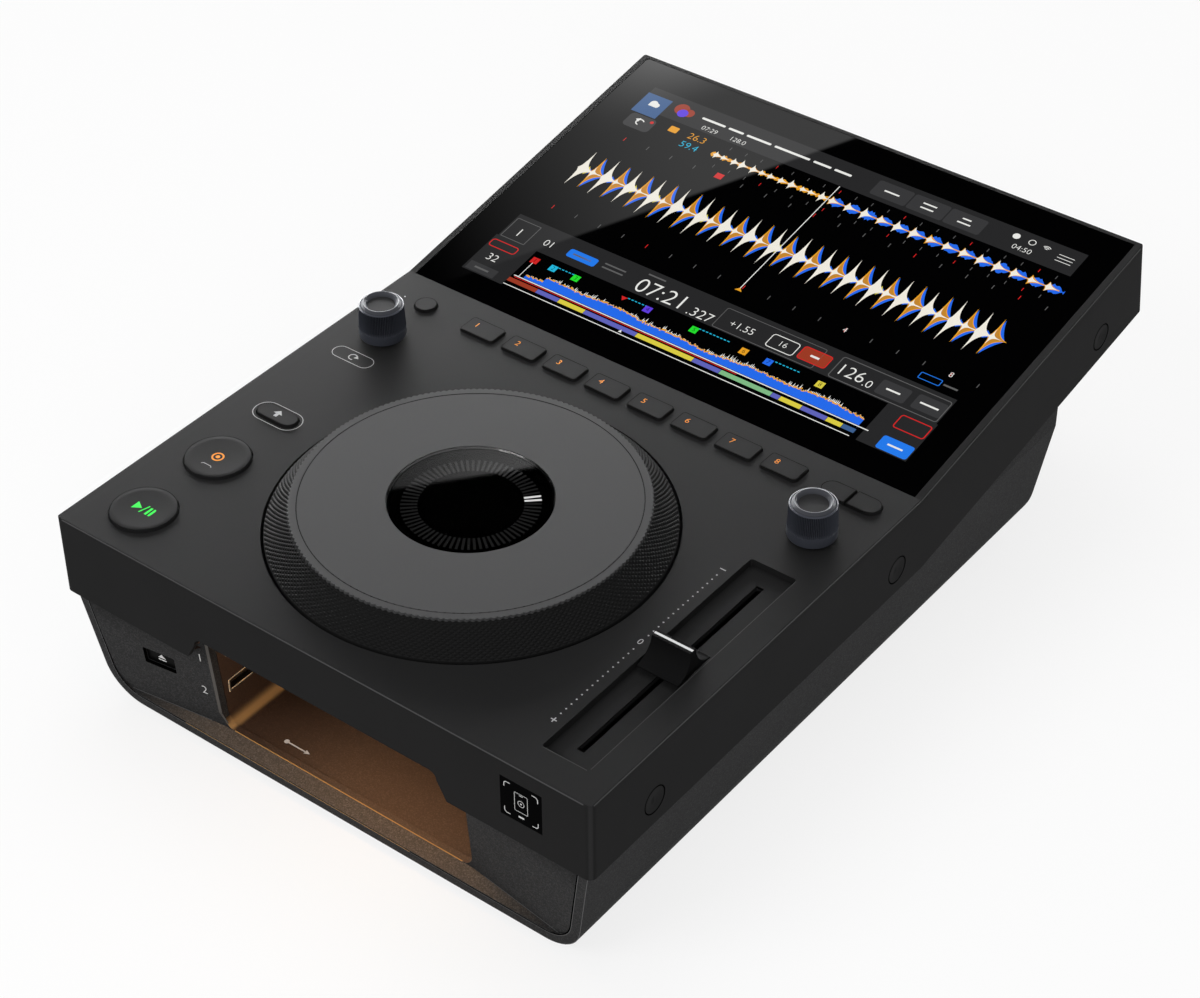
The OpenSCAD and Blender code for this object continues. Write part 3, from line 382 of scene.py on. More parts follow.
def bump(tree, height, strength, depth):
    return add(tree, "Bump", {"Height": height, "Strength": strength, "Distance": depth * MM})["Normal"]


def grey(tone):
    return (tone, tone, tone)


def scaled(colour, share):
    return [share * c for c in colour]


# ---- Shared effects: each function fills one node group ----


def moulded_grain(tree, given):
    """Fine pits with a soft unevenness, and a slow change of tone."""
    broad = noise(tree, 26.0)
    fine = noise(tree, given["Pits per metre"], 3.0)
    height = maths(tree, "ADD", fine, times(tree, broad, given["Unevenness"]))
    return {"Height": height, "Color": mix(tree, 1.0, given["Color"], spread(tree, broad, 0.92, 1.08))}


def sparkle_grain(tree, given):
    """Pale flecks in a dark mould finish."""
    cells = add(tree, "TexVoronoi", {"Vector": location(tree), "Scale": given["Flecks per metre"]})
    value = add(tree, "SeparateColor", {"Color": cells["Color"]})["Red"]
    bright = times(tree, maths(tree, "POWER", value, 2.2), noise(tree, given["Flecks per metre"]))
    mask = times(tree, bright, given["Amount"], clamp=True)
    return {"Color": mix(tree, mask, given["Ground"], given["Fleck"], "MIX")}


def handling(tree, given):
    """Faint, cloudy change of gloss."""
    cloud = maths(tree, "SUBTRACT", noise(tree, 34.0, 5.0, Distortion=0.4), 0.5)
    return {"Roughness": maths(tree, "ADD", given["Roughness"], times(tree, cloud, given["Spread"]), clamp=True)}


def brushed_lines(tree, given):
    """Fine lines along x with an uneven gloss."""
    stretched = add(tree, "Mapping", {"Vector": location(tree), "Scale": (1.0, 12.0, 12.0)})["Vector"]
    lines = noise(tree, 900.0, vector=stretched)
    low, high = (times(tree, given["Roughness"], share) for share in (0.75, 1.3))
    return {"Height": lines, "Roughness": spread(tree, lines, low, high)}


def worn_ink(tree, given):
    """Pad print with a slightly worn cover."""
    return {"Color": mix(tree, 1.0, given["Color"], spread(tree, noise(tree, 2600.0, 3.0), 0.82, 1.05))}


def pixel_grid(tree, given):
    """Faint grid in a lit picture."""
    cells = add(tree, "TexVoronoi", {"Vector": location(tree), "Scale": 4000.0}, feature="DISTANCE_TO_EDGE")
    return {"Color": mix(tree, 1.0, given["Color"], spread(tree, cells["Distance"], 0.82, 1.0, top=0.1))}


BLACK = (0.0, 0.0, 0.0, 1.0)
EFFECT_INPUTS = {
    moulded_grain: {"Color": BLACK, "Pits per metre": 2500.0, "Unevenness": 0.3},
    sparkle_grain: {"Flecks per metre": 2300.0, "Amount": 0.9, "Ground": BLACK, "Fleck": BLACK},
    handling: {"Roughness": 0.4, "Spread": 0.08},
    brushed_lines: {"Roughness": 0.25},
    worn_ink: {"Color": BLACK},
    pixel_grid: {"Color": BLACK},
}
EFFECTS = {}


def make_effect(fill, inputs):
    """Builds a shader node group with named inputs and outputs."""
    group = bpy.data.node_groups.new(fill.__name__.replace("_", " ").capitalize(), "ShaderNodeTree")
    for label, default in inputs.items():
        kind = "NodeSocketColor" if default is BLACK else "NodeSocketFloat"
        group.interface.new_socket(label, in_out="INPUT", socket_type=kind).default_value = default
    results = fill(group, group.nodes.new("NodeGroupInput").outputs)
    for label in results:
        kind = "NodeSocketColor" if label == "Color" else "NodeSocketFloat"
        group.interface.new_socket(label, in_out="OUTPUT", socket_type=kind)
    feed(group, group.nodes.new("NodeGroupOutput"), results)
    EFFECTS[fill] = group


def effect(tree, fill, values):
    """Places a shared effect in a material, with the material's own values."""
    return add(tree, "Group", values, node_tree=EFFECTS[fill])


def handled(tree, roughness, uneven=0.08):
    return effect(tree, handling, {"Roughness": roughness, "Spread": uneven})["Roughness"]


# ---- Finishes ----

GLASS_GLOSS = 0.012


def start_material(name, base, specular=0.5, metallic=0.0):
    """Material whose plain values sit on the shader's own sockets."""
    material = bpy.data.materials.new(name)
    material.use_nodes = True
    tree = material.node_tree
    shader = tree.nodes["Principled BSDF"]
    feed(tree, shader, {"Base Color": (*base, 1), "Metallic": metallic, "Specular IOR Level": specular})
    return material, tree, shader


def moulded(name, base, roughness=0.5, specular=0.35, pits=2500.0, depth=0.02):
    """Moulded plastic or rubber: grain in the surface and an uneven gloss."""
    material, tree, shader = start_material(name, base, specular)
    grain = effect(tree, moulded_grain, {"Color": (*base, 1), "Pits per metre": pits})
    normal = bump(tree, grain["Height"], 0.35, depth)
    feed(tree, shader, {"Base Color": grain["Color"], "Roughness": handled(tree, roughness), "Normal": normal})
    return material


def sparkled(name, ground, fleck, flecks=2300.0, roughness=0.6, specular=0.01):
    """Textured paint with pale flecks."""
    material, tree, shader = start_material(name, ground, specular)
    colours = {"Ground": (*ground, 1), "Fleck": (*fleck, 1)}
    dots = effect(tree, sparkle_grain, {"Flecks per metre": flecks} | colours)
    grain = effect(tree, moulded_grain, {"Pits per metre": flecks})
    normal = bump(tree, grain["Height"], 0.5, 0.05)
    feed(tree, shader, {"Base Color": dots["Color"], "Roughness": handled(tree, roughness), "Normal": normal})
    return material


def metal(name, base, roughness):
    """Plated or brushed metal."""
    material, tree, shader = start_material(name, base, metallic=1.0)
    lines = effect(tree, brushed_lines, {"Roughness": roughness})
    feed(tree, shader, {"Roughness": lines["Roughness"], "Normal": bump(tree, lines["Height"], 0.12, 0.01)})
    return material


def polished(name, base=(0.0006, 0.0006, 0.0007), specular=0.5, **clear):
    """Polished glass, over black or clear, with a trace of handling."""
    material, tree, shader = start_material(name, base, specular)
    feed(tree, shader, {"Roughness": handled(tree, GLASS_GLOSS, 0.01)} | clear)
    return material


def lit(name, colour, strength=1.0):
    """Part of a lit picture under polished glass."""
    material, tree, shader = start_material(name, grey(0.0))
    glow = effect(tree, pixel_grid, {"Color": (*colour, 1)})["Color"]
    feed(tree, shader, {"Emission Color": glow, "Emission Strength": strength, "Roughness": GLASS_GLOSS})
    return material


def print_ink(name, colour, roughness=0.5, glow=0.0):
    """Pad-printed ink, which may be lit from below."""
    material, tree, shader = start_material(name, colour, specular=0.02)
    cover = effect(tree, worn_ink, {"Color": (*colour, 1)})["Color"]
    feed(tree, shader, {"Base Color": cover, "Roughness": roughness})
    if glow:
        feed(tree, shader, {"Emission Color": cover, "Emission Strength": glow})
    return material


def lamp_strip(name, colour, strength):
    """Diffuser lit by lamps behind it, brighter towards its right end."""
    material, tree, shader = start_material(name, (0.5, 0.45, 0.4), specular=0.1)
    swell = maths(tree, "ADD", ramp(tree, axes(tree, location(tree))["X"], -0.045, 0.045), 0.2)
    level = times(tree, swell, maths(tree, "ADD", noise(tree, 300.0), 0.5))
    feed(tree, shader, {"Emission Color": mix(tree, 1.0, colour, level), "Emission Strength": strength})
    return material


def recolour(material, change):
    """Puts a change between a material's colour and its shader."""
    tree = material.node_tree
    socket = tree.nodes["Principled BSDF"].inputs["Base Color"]
    tree.links.new(change(tree, socket.links[0].from_socket, axes(tree, location(tree))), socket)


def rub_corners(tree, plain, _):
    """Painted highlight: lightens the upright corners, where their normal points half to the front and half to a side.
    """
    facing = axes(tree, location(tree, "Normal"))
    both = maths(tree, "ABSOLUTE", times(tree, facing["X"], facing["Y"]))
    return mix(tree, ramp(tree, both, 0.36, 0.5), plain, grey(1.7))


def tone_panel(tree, plain, place):
    """Painted light on the upward-facing sill below the bay, paler towards its middle, and painted shadow of the case
    on the top of the wings.
    """
    up = axes(tree, location(tree, "Normal"))["Z"]
    sill = times(tree, ramp(tree, up, 0.6, 0.75), ramp(tree, place["Z"], 0.013, 0.012))
    ends = ramp(tree, maths(tree, "ABSOLUTE", place["X"]), 0.108, 0.066)
    lit_sill = mix(tree, times(tree, sill, ends), plain, (3.3, 2.75, 2.25))
    return mix(tree, ramp(tree, place["Z"], 0.038, 0.054), lit_sill, grey(0.66))


def catch_light(tree, plain, place):
    """Painted shade towards the bay's left and rear, with a painted highlight streak along its lower left rounding."""
    left = mix(tree, ramp(tree, place["X"], 0.0, -0.056), plain, (0.5, 0.46, 0.46))
    deep = mix(tree, ramp(tree, place["Y"], FRONT_Y + 0.018, FRONT_Y + 0.062), left, (0.6, 0.58, 0.56))
    away = maths(tree, "ABSOLUTE", maths(tree, "ADD", place["X"], 0.0606))
    low = times(tree, ramp(tree, away, 0.0026, 0.0004), ramp(tree, place["Z"], 0.018, 0.012))
    return mix(tree, times(tree, low, 0.85), deep, (0.42, 0.25, 0.1), "MIX")


# ---- Settings ----


def colour_property(name, description, default):
    return FloatVectorProperty(name=name, description=description, subtype="COLOR", default=default)


def level_property(name, description, default, **limits):
    return FloatProperty(name=name, description=description, default=default, min=0.0, **limits)


def angle_property(name, description, degrees):
    return FloatProperty(name=name, description=description, subtype="ANGLE", default=math.radians(degrees))


class CaseSettings(bpy.types.PropertyGroup):
    """Colours of the case and base."""

    case: colour_property("Case", "Case plastic", (0.0145, 0.0145, 0.0147))
    base: colour_property("Base", "Base plastic", (0.026, 0.026, 0.0265))
    fleck: colour_property("Fleck", "Flecks in the base", (0.075, 0.075, 0.076))
    bay: colour_property("Bay", "Bay plastic", (0.085, 0.054, 0.036))
    glow: colour_property("Glow", "Lamp in the bay", (1.0, 0.56, 0.22))
    lamp: level_property("Lamp", "Strength of the lamp in the bay", 22.0)


class ControlSettings(bpy.types.PropertyGroup):
    """Colours of the controls and their marks."""

    button: colour_property("Button", "Buttons", (0.0135, 0.0135, 0.0137))
    mark: colour_property("Mark", "Printed marks", (0.46, 0.46, 0.46))
    cue: colour_property("Cue", "Amber marks", (0.8, 0.27, 0.02))
    play: colour_property("Play", "Green mark", (0.02, 0.62, 0.05))
    knob: colour_property("Knob", "Knobs", (0.042, 0.0455, 0.057))


class WheelSettings(bpy.types.PropertyGroup):
    """Jog wheel."""

    columns: IntProperty(name="Grip columns", description="Half pyramids round the skirt", default=360, min=100)
    rows: IntProperty(name="Grip rows", description="Half pyramids up the skirt", default=16, min=4)
    relief: FloatProperty(name="Grip relief", description="Height of the pyramids", default=0.0005, subtype="DISTANCE")
    plate: colour_property("Plate", "Top plate", (0.056, 0.056, 0.057))
    skirt: colour_property("Skirt", "Knurled skirt", (0.0122, 0.0122, 0.0123))


class PictureSettings(bpy.types.PropertyGroup):
    """Lit picture on the screen."""

    brightness: level_property("Brightness", "Strength of the picture", 1.0)
    beats: IntProperty(name="Beats", description="Beats across the main wave", default=18, min=4)
    seed: IntProperty(name="Seed", description="Random seed of the waves", default=7)


class StageSettings(bpy.types.PropertyGroup):
    """Camera and studio."""

    lens: FloatProperty(name="Lens", description="Focal length", default=84.85, subtype="DISTANCE_CAMERA")
    place: FloatVectorProperty(
        name="Camera", description="Camera position", subtype="TRANSLATION", default=(0.54978, -0.7285, 0.77908)
    )
    azimuth: angle_property("Azimuth", "Turn round the part", 37.726)
    elevation: angle_property("Elevation", "Downward tilt", 39.001)
    roll: angle_property("Roll", "Roll about the view", -0.334)
    world: level_property("World", "Strength of the surrounding light", 0.45)
    panel_top: level_property("Panel top", "Height of the lit strip", 0.587, subtype="DISTANCE")
    panel_distance: level_property("Panel distance", "From the middle", 0.551, subtype="DISTANCE")
    panel_turn: angle_property("Panel turn", "Turn of the panel", 51.33)
    panel_rim: level_property("Panel rim", "Glow of the panel's upper rim", 0.8)
    panel_core: level_property("Panel core", "Glow of the panel's bright corner", 2.3)
    panel_strip: level_property("Panel strip", "Glow of the panel's foot", 44.0)
    floor_white: level_property("Floor white", "Glow that whitens the floor", 1.0)
    floor_share: level_property("Floor share", "Share of that glow", 0.8, max=1.0)


def settings(name):
    return getattr(bpy.context.scene, "player_" + name)


# ---- Stage ----


def make_camera(stage):
    a, e, roll = stage.azimuth, stage.elevation, stage.roll
    back = Vector((math.sin(a) * math.cos(e), -math.cos(a) * math.cos(e), math.sin(e)))
    right = Vector((math.cos(a), math.sin(a), 0))
    up = back.cross(right)
    rolled = (math.cos(roll) * right + math.sin(roll) * up, math.cos(roll) * up - math.sin(roll) * right, back)
    data = bpy.data.cameras.new("Camera")
    data.lens = stage.lens
    data.sensor_width = 36
    data.clip_start = 0.05
    turn = Matrix(rolled).transposed().to_4x4()
    bpy.context.scene.camera = put("Camera", data, Matrix.Translation(stage.place) @ turn)


def area_lamp(name, place, target, size, power):
    data = bpy.data.lights.new(name, "AREA")
    data.shape = "RECTANGLE"
    data.size, data.size_y = size
    data.energy = power
    aim = (Vector(target) - Vector(place)).to_track_quat("-Z", "Y")
    lamp = put(name, data, Matrix.Translation(place) @ aim.to_matrix().to_4x4())
    lamp.visible_glossy = False


def seen_rays(tree):
    """1 on rays that show the background: camera, glossy and transmission rays."""
    path = add(tree, "LightPath", {})
    seen = maths(tree, "MAXIMUM", path["Is Camera Ray"], path["Is Glossy Ray"])
    return maths(tree, "MAXIMUM", seen, path["Is Transmission Ray"])


def make_world(stage):
    world = bpy.data.worlds.new("Studio")
    bpy.context.scene.world = world
    world.use_nodes = True
    tree = world.node_tree
    strength = spread(tree, seen_rays(tree), stage.world, 1.0)
    feed(tree, tree.nodes["Background"], {"Color": (1, 1, 1, 1), "Strength": strength})


def make_floor(stage):
    """Pale floor that looks white and keeps a part of the shadow."""
    bm = bmesh.new()
    bmesh.ops.create_circle(bm, cap_ends=True, radius=6, segments=96)
    floor = put("floor", to_mesh(bm, "floor", Matrix(), closed=False))
    material, tree, shader = start_material("Studio floor", grey(0.9), specular=0.0)
    shader.inputs["Roughness"].default_value = 1.0
    white = add(tree, "Emission", {"Strength": stage.floor_white})["Emission"]
    share = times(tree, seen_rays(tree), stage.floor_share)
    mixed = add(tree, "MixShader", {"Fac": share, 1: shader.outputs["BSDF"], 2: white})["Shader"]
    feed(tree, tree.nodes["Material Output"], {"Surface": mixed})
    floor.data.materials.append(material)


def reflector(name, stage, shift, low, high, glow):
    """Upright black board that glows where glow says, seen only in gloss and through glass."""
    bm = bmesh.new()
    bmesh.ops.create_grid(bm, x_segments=1, y_segments=1, size=1)
    along = Vector((math.cos(stage.panel_turn), math.sin(stage.panel_turn), 0))
    facing = Vector((along.y, -along.x, 0))
    turn = Matrix((along, Vector((0, 0, 1)), facing)).transposed().to_4x4()
    place = Matrix.Translation(facing * (shift - stage.panel_distance) + Vector((0, 0, stage.panel_top)))
    reach = Matrix.Translation((0, (low + high) / 2, 0)) @ Matrix.Diagonal((3.0, (high - low) / 2, 1, 1))
    board = put(name, to_mesh(bm, name, reach, closed=False), place @ turn)
    material = bpy.data.materials.new(name)
    material.use_nodes = True
    tree = material.node_tree
    tree.nodes.remove(tree.nodes["Principled BSDF"])
    split = axes(tree, location(tree))
    light = add(tree, "Emission", {"Strength": glow(tree, split["X"], split["Y"])})["Emission"]
    feed(tree, tree.nodes["Material Output"], {"Surface": light})
    board.data.materials.append(material)
    board.visible_camera = board.visible_diffuse = board.visible_shadow = False
    return board


def make_panel(stage):
    """Board whose upper rim shows in the glass, with a bright strip at its foot for the matt pieces."""

    def upper(tree, x, y):
        faint = times(tree, ramp(tree, x, -0.09, 0.13), stage.panel_rim)
        high = times(tree, ramp(tree, y, -0.075, -0.15), ramp(tree, x, 0.03, 0.13))
        both = maths(tree, "ADD", faint, times(tree, high, stage.panel_core))
        return times(tree, both, ramp(tree, y, 0.002, -0.002))

    def foot(tree, x, y):
        low = times(tree, ramp(tree, y, -0.205, -0.265), ramp(tree, x, -1.4, -0.35))
        return times(tree, low, stage.panel_strip)

    reflector("light_panel", stage, 0.0, -0.5, 2.9, upper)
    strip = reflector("light_strip", stage, 0.002, -0.5, -0.2, foot)
    strip.light_linking.receiver_collection = bpy.data.collections.new("Polished glass")


def keep_strip_off_glass():
    """Polished glass doesn't mirror the strip."""
    glass = bpy.data.collections["Polished glass"]
    pictures = [piece.name for piece in bpy.data.objects if piece.name.startswith("picture_")]
    for name in (*POLISHED, *pictures):
        glass.objects.link(bpy.data.objects[name])
    for member in glass.collection_objects:
        member.light_linking.link_state = "EXCLUDE"


class PLAYER_OT_stage(bpy.types.Operator):
    """Make the camera, floor, lamps and reflector"""

    bl_idname = "player.stage"
    bl_label = "Make the stage"

    def execute(self, context):
        stage = settings("stage")
        context.scene.view_settings.view_transform = "Standard"
        make_camera(stage)
        make_world(stage)
        make_floor(stage)
        make_panel(stage)
        area_lamp("Overhead", (-0.5, 0.6, 2.4), (0, 0, 0), (2.2, 2.2), 26)
        area_lamp("Left fill", (-0.6, -1.7, 1.5), (0, -0.1, 0.05), (1.2, 0.8), 15)
        area_lamp("Corner fill", (1.1, -1.4, 1.0), (0.1, -0.15, 0.05), (0.6, 0.6), 6)
        return {"FINISHED"}


# ---- Case and base ----


class PLAYER_OT_case(bpy.types.Operator):
    """Finish the case, base, feet, plugs and screws"""

    bl_idname = "player.case"
    bl_label = "Finish the case"

    def execute(self, context):
        colours = settings("case")
        case = moulded("Cover plastic", colours.case, specular=0.01, pits=3200.0, depth=0.012)
        # painted highlight on the case's upright corners
        recolour(case, rub_corners)
        dress(case, "top_cover", "screen_rear_cover", "side_plugs")
        dress(sparkled("Base plastic", colours.base, colours.fleck), "bottom_chassis")
        front = sparkled("Front panel plastic", colours.base, colours.fleck)
        # painted light on the sill and painted shadow of the case on the wings
        recolour(front, tone_panel)
        dress(front, "front_panel")
        dress(moulded("Foot rubber", grey(0.01), 0.8, 0.2), "feet")
        dress(metal("Screw steel", (0.4, 0.41, 0.43), 0.35), "base_screws")
        dress(polished("Badge gloss", specular=0.004), "front_badge")
        mark_badge()
        line_edges(colours)
        return {"FINISHED"}


def mark_badge():
    """Corner brackets round a plain card shape."""
    marks = [box_line(0, 0.4, 6.0, 9.0, 0.6, 0.2), ring(0, 0.2, 1.5, 0.24, 24), disc(0, 0.2, 0.42, 16)]
    marks += [rounded_rect(0, -6.4, 2.6, 0.8, 0.35), rect(0, 4.1, 1.6, 0.3)]
    for k, (sx, sy) in enumerate(((1, 1), (-1, 1), (-1, -1), (1, -1))):
        marks += ring(sx * 6.3, sy * 6.3, 1.4, 0.34, 32)[8 * k : 8 * k + 8]
        marks += [rect(sx * 7.53, sy * 5.6, 0.34, 1.4), rect(sx * 5.6, sy * 7.53, 1.4, 0.34)]
    place = spot(99, 0, FOOT_H + 71.8, 90)
    ink("badge_mark", -0.03, marks, place, print_ink("Badge mark", grey(0.6)), slot="black_gloss", thick=0.01)


def rim_path(inset, top=52.0):
    """Outline of the base's front rim, from its left top round the corners to its right top."""
    r = 17.6 - inset
    right = [(102.73 + x, 17.6 + z) for x, z in disc(0, 0, r, 36)[-9:] + [(r, 0)]][:9]
    x, z = right[-1]
    right.append((x + (top - z) * math.tan(math.radians(10)), top))
    return [(-x, z) for x, z in reversed(right)] + right


def line_edges(colours):
    """Painted highlights along the case's bevels and along the base's rim and wings, and painted shade in the gaps
    round the base's rim and the plugs.
    """
    # painted highlights on the case's bevels
    edge_highlight = moulded("Edge sheen", scaled(colours.case, 4.2), specular=0.02)
    # painted highlights on the base's rim and the wings' lower edges
    pale = moulded("Base edge sheen", scaled(colours.base, 4.0), specular=0.02)
    # painted shade in the gaps round the base's rim and the plugs
    gap = moulded("Parting shadow", grey(0.001), 0.9, 0.0)
    lean = math.radians(45)
    front = DECK @ Matrix.Translation((0, 0.3, -0.3)) @ Matrix.Rotation(lean, 4, "X")
    ink("edge_front", 0.02, [rect(0, 0, 253, 0.45)], front, edge_highlight)
    for side, s in (("right", 1), ("left", -1)):
        for name, run, start, end in (("deck", DECK, 2, 209), ("screen", SLOPE, 0, 168)):
            place = run @ Matrix.Translation((s * (CASE_HALF - 0.3), 0, -0.3)) @ Matrix.Rotation(s * lean, 4, "Y")
            ink(f"edge_{name}_{side}", 0.02, [rect(0, (start + end) / 2, 0.4, end - start)], place, edge_highlight)
    seam, upper, lower = (ribbon(rim_path(a), rim_path(b)) for a, b in ((4.36, 4.9), (4.1, 4.34), (0.06, 0.32)))
    ink("rim_seam", 0.02, seam, RIM, gap, slot="base_plastic")
    ink("rim_sheen", 0.02, [upper, lower], RIM, pale, slot="base_plastic")
    for side, s in (("left", -1), ("right", 1)):
        line = [rect(s * 0.7, 0.18, 42.6, 0.36)]
        ink(f"wing_sheen_{side}", 0.02, line, on_wing(s * WING_MID, BAY_FLOOR), pale, slot="base_plastic")
    for side, s in (("right", 1), ("left", -1)):
        for k, (y, z) in enumerate(PLUGS):
            wall = spot(s * CASE_HALF, y, z, s * 90, "Y")
            ink(f"plug_seam_{side}_{k + 1}", 0.02, ring(0, 0, 6.05, 0.45, 48), wall, gap)


class PLAYER_OT_bay(bpy.types.Operator):
    """Finish the USB bay, its sockets and lamp, and the eject button"""

    bl_idname = "player.bay"
    bl_label = "Finish the USB bay"

    def execute(self, context):
        colours = settings("case")
        bay = sparkled("Bay plastic", colours.bay, scaled(colours.bay, 2.2), roughness=0.42, specular=0.4)
        # painted shade towards the bay's left and rear, and a painted highlight streak on its lower left rounding
        recolour(bay, catch_light)
        dress(bay, "usb_bay")
        line_opening()
        dress(lamp_strip("Lamp strip", colours.glow, colours.lamp), "bay_light_bar")
        dress(metal("Port shell", (0.2, 0.18, 0.16), 0.4), "usb_port_upper", "usb_port_lower")
        dress(moulded("Eject plastic", grey(0.002), 0.35, 0.02), "eject_button")
        pale = print_ink("Wing print", grey(0.62))
        mark_ports(pale)
        trim_bay(bay)
        trim_eject(pale)
        return {"FINISHED"}


def line_opening():
    """Painted highlight along the left edge of the opening."""
    pale = moulded("Opening edge highlight", (0.09, 0.084, 0.078), specular=0.02)
    upright = [(25.3, 12.5), (26.8, 11.2), (26.8, 53), (25.3, 53)]
    corner = [(25.3, 12.5), (28.4, 7.2), (29.2, 8.0), (26.8, 12.6)]
    ink("opening_edge", 0.06, [upright, corner], on_wing(-WING_MID, 0), pale, slot="base_plastic")


def mark_ports(pale):
    """Painted highlights on the lips of the two sockets, plain numbers for them, and a plug sign on the bay's floor.
    """
    # painted highlights on the sockets' lips
    rims = print_ink("Port rim highlight", (0.8, 0.66, 0.46), roughness=0.3)
    lips = [box_line(0, 0, 6.6, 14.0, 0.7, 0.45), rect(2.5, 0, 0.9, 12.9)]
    for name, z in (("upper", 45.5), ("lower", 27.0)):
        ink(f"port_rim_{name}", 0.06, lips, spot(-BAY_HALF, 25, z, 90, "Y"), rims, slot="port_metal")
    for name, text, x, up in (("upper", "1", -68.8, 41.2), ("lower", "2", -69.9, 22.7)):
        ink(f"port_number_{name}", 0.05, numerals(text, 0, 0, 6), on_wing(x, up), pale, slot="base_plastic")
    plug = [disc(-38, 22, 1.1, 20), stroke(-37, 22, -28, 22, 0.6), [(-28.4, 20.9), (-28.4, 23.1), (-26, 22)]]
    ink("bay_mark", 0.45, plug, spot(0, 0, FOOT_H + BAY_FLOOR), pale, slot="bay_plastic")


def trim_bay(bay):
    """Threshold strip, painted highlights of the bay's lamp along its edge and along the base's rim, and painted shade
    in the notch at the left end of the front panel.
    """
    runs = []
    for r in (6.02, 5.85):
        right = [(57.3 + x, 11.4 + z) for x, z in disc(0, 0, r, 72)[54:69]]
        runs.append([(-x, z) for x, z in reversed(right)] + right)
    ink("bay_threshold", -7.15, ribbon(*runs), RIM, bay, slot="bay_plastic", thick=3.1)
    # painted highlights and reflection of the bay's lamp
    glow = print_ink("Sill glow", (0.5, 0.29, 0.1))
    ink("sill_line", -7.12, [rect(0, 5.52, 116, 0.2)], RIM, glow, slot="bay_plastic", thick=0.34)
    ink("rim_glow", 0.03, [rect(-20, 4.62, 116, 0.22)], RIM, glow, slot="base_plastic")
    # painted shade in the notch at the left end of the front panel
    dark = moulded("Notch shade", (0.012, 0.008, 0.006), 0.8, 0.0)
    end = [((x + WING_MID) / math.cos(WING_ANGLE), y) for x, y in ((-72.7, 48.6), (-75.5, 41.4), (-66.9, 48.0))]
    ink("panel_end", 0.04, [end], on_wing(-WING_MID, 0), dark, slot="base_plastic")


def trim_eject(pale):
    """Painted shade on the walls of the button's window, and the button's mark."""
    window = on_wing(EJECT_X, EJECT_UP)
    window_shade = band(rounded_rect(0, 0, 15.24, 8.24, 0.7), rounded_rect(0, 0, 14.9, 7.9, 0.6))
    # painted shade on the window's walls
    gap = moulded("Window shadow", grey(0.0015), 0.9, 0.0)
    ink("eject_liner", 0.02, window_shade, window, gap, slot="base_plastic", thick=1.45)
    eject = [[(-1.9, -0.3), (1.9, -0.3), (0, 1.7)], rect(0, -1.3, 3.8, 0.6)]
    ink("eject_mark", -1.55, eject, window, pale, "eject_key", "button_plastic")


# ---- Screen: millimetres on the glass, from its middle and up from the fold ----

PICTURE_COLOURS = {
    "ground": grey(0.001),
    "panel": (0.022, 0.022, 0.023),
    "tile": (0.042, 0.042, 0.044),
    "dim": grey(0.12),
    "white": (0.85, 0.85, 0.82),
    "cream": (0.9, 0.86, 0.76),
    "orange": (0.82, 0.36, 0.02),
    "brown": (0.56, 0.24, 0.03),
    "blue": (0.02, 0.15, 0.85),
    "sky": (0.02, 0.2, 0.85),
    "slate": (0.05, 0.12, 0.28),
    "red": (0.65, 0.02, 0.02),
    "rust": (0.34, 0.045, 0.02),
    "green": (0.02, 0.75, 0.03),
    "cyan": (0.02, 0.5, 0.75),
    "violet": (0.12, 0.05, 0.75),
    "yellow": (0.72, 0.62, 0.06),
    "leaf": (0.22, 0.5, 0.24),
    "mauve": (0.12, 0.13, 0.5),
}
LEVELS = {"ground": 0.006, "panel": 0.012, "tile": 0.018, "back": 0.018, "middle": 0.024, "front": 0.03, "top": 0.036}
WAVE_V = 91.3
STRIP_V = 128.4
OVERVIEW_V = 21.4

# Rows of colour, level, kind of shape and the shapes' sizes, each from its middle
PANELS = (
    ("panel", "panel", rect, (1.2, 145.8, 224.6, 15.0), (0.8, 45.6, 223, 15.6), (-100.6, 25.6, 22, 24.4)),
    ("panel", "panel", rect, (101.4, 26, 23.4, 23.6)),
    ("tile", "tile", rounded_rect, *((21.5 + 18.4 * i, 145.6, 17.8, 9.8, 1.2) for i in range(3))),
    ("tile", "tile", rounded_rect, (87.8, 44.4, 13.8, 8.4, 1.2), (104.6, 44.8, 13.6, 8.4, 1.2)),
    ("tile", "tile", rounded_rect, (-102.4, 129.6, 14, 9.4, 2.2)),
    ("tile", "tile", rect, (-103, 16.6, 15, 5)),
    ("slate", "tile", rect, (-104.6, 142, 13.4, 14)),
    ("dim", "middle", box_line, (-103.4, 44.4, 13, 13, 0.4, 0.35), (85.8, 44.8, 52, 13, 1.4, 0.4)),
    ("dim", "middle", box_line, (27.2, 44.6, 50, 12.6, 1.0, 0.3)),
    ("white", "front", box_line, (34.4, 44, 13.6, 8, 1.6, 0.4)),
    ("rust", "middle", rounded_rect, (49.8, 44.6, 14, 7.8, 1.4)),
    ("red", "front", box_line, (49.8, 44.6, 14, 7.8, 1.4, 0.45), (-103.8, 32.8, 14.4, 4.8, 1.6, 0.5)),
    ("red", "front", box_line, (105.2, 31.6, 14.6, 8, 1.4, 0.5)),
    ("sky", "front", rounded_rect, (105.4, 18.6, 14.4, 7.6, 1.2), (-69.8, 44.4, 15, 5, 1.2)),
    ("sky", "front", box_line, (96.6, 58, 10.2, 3.8, 0.6, 0.35)),
)
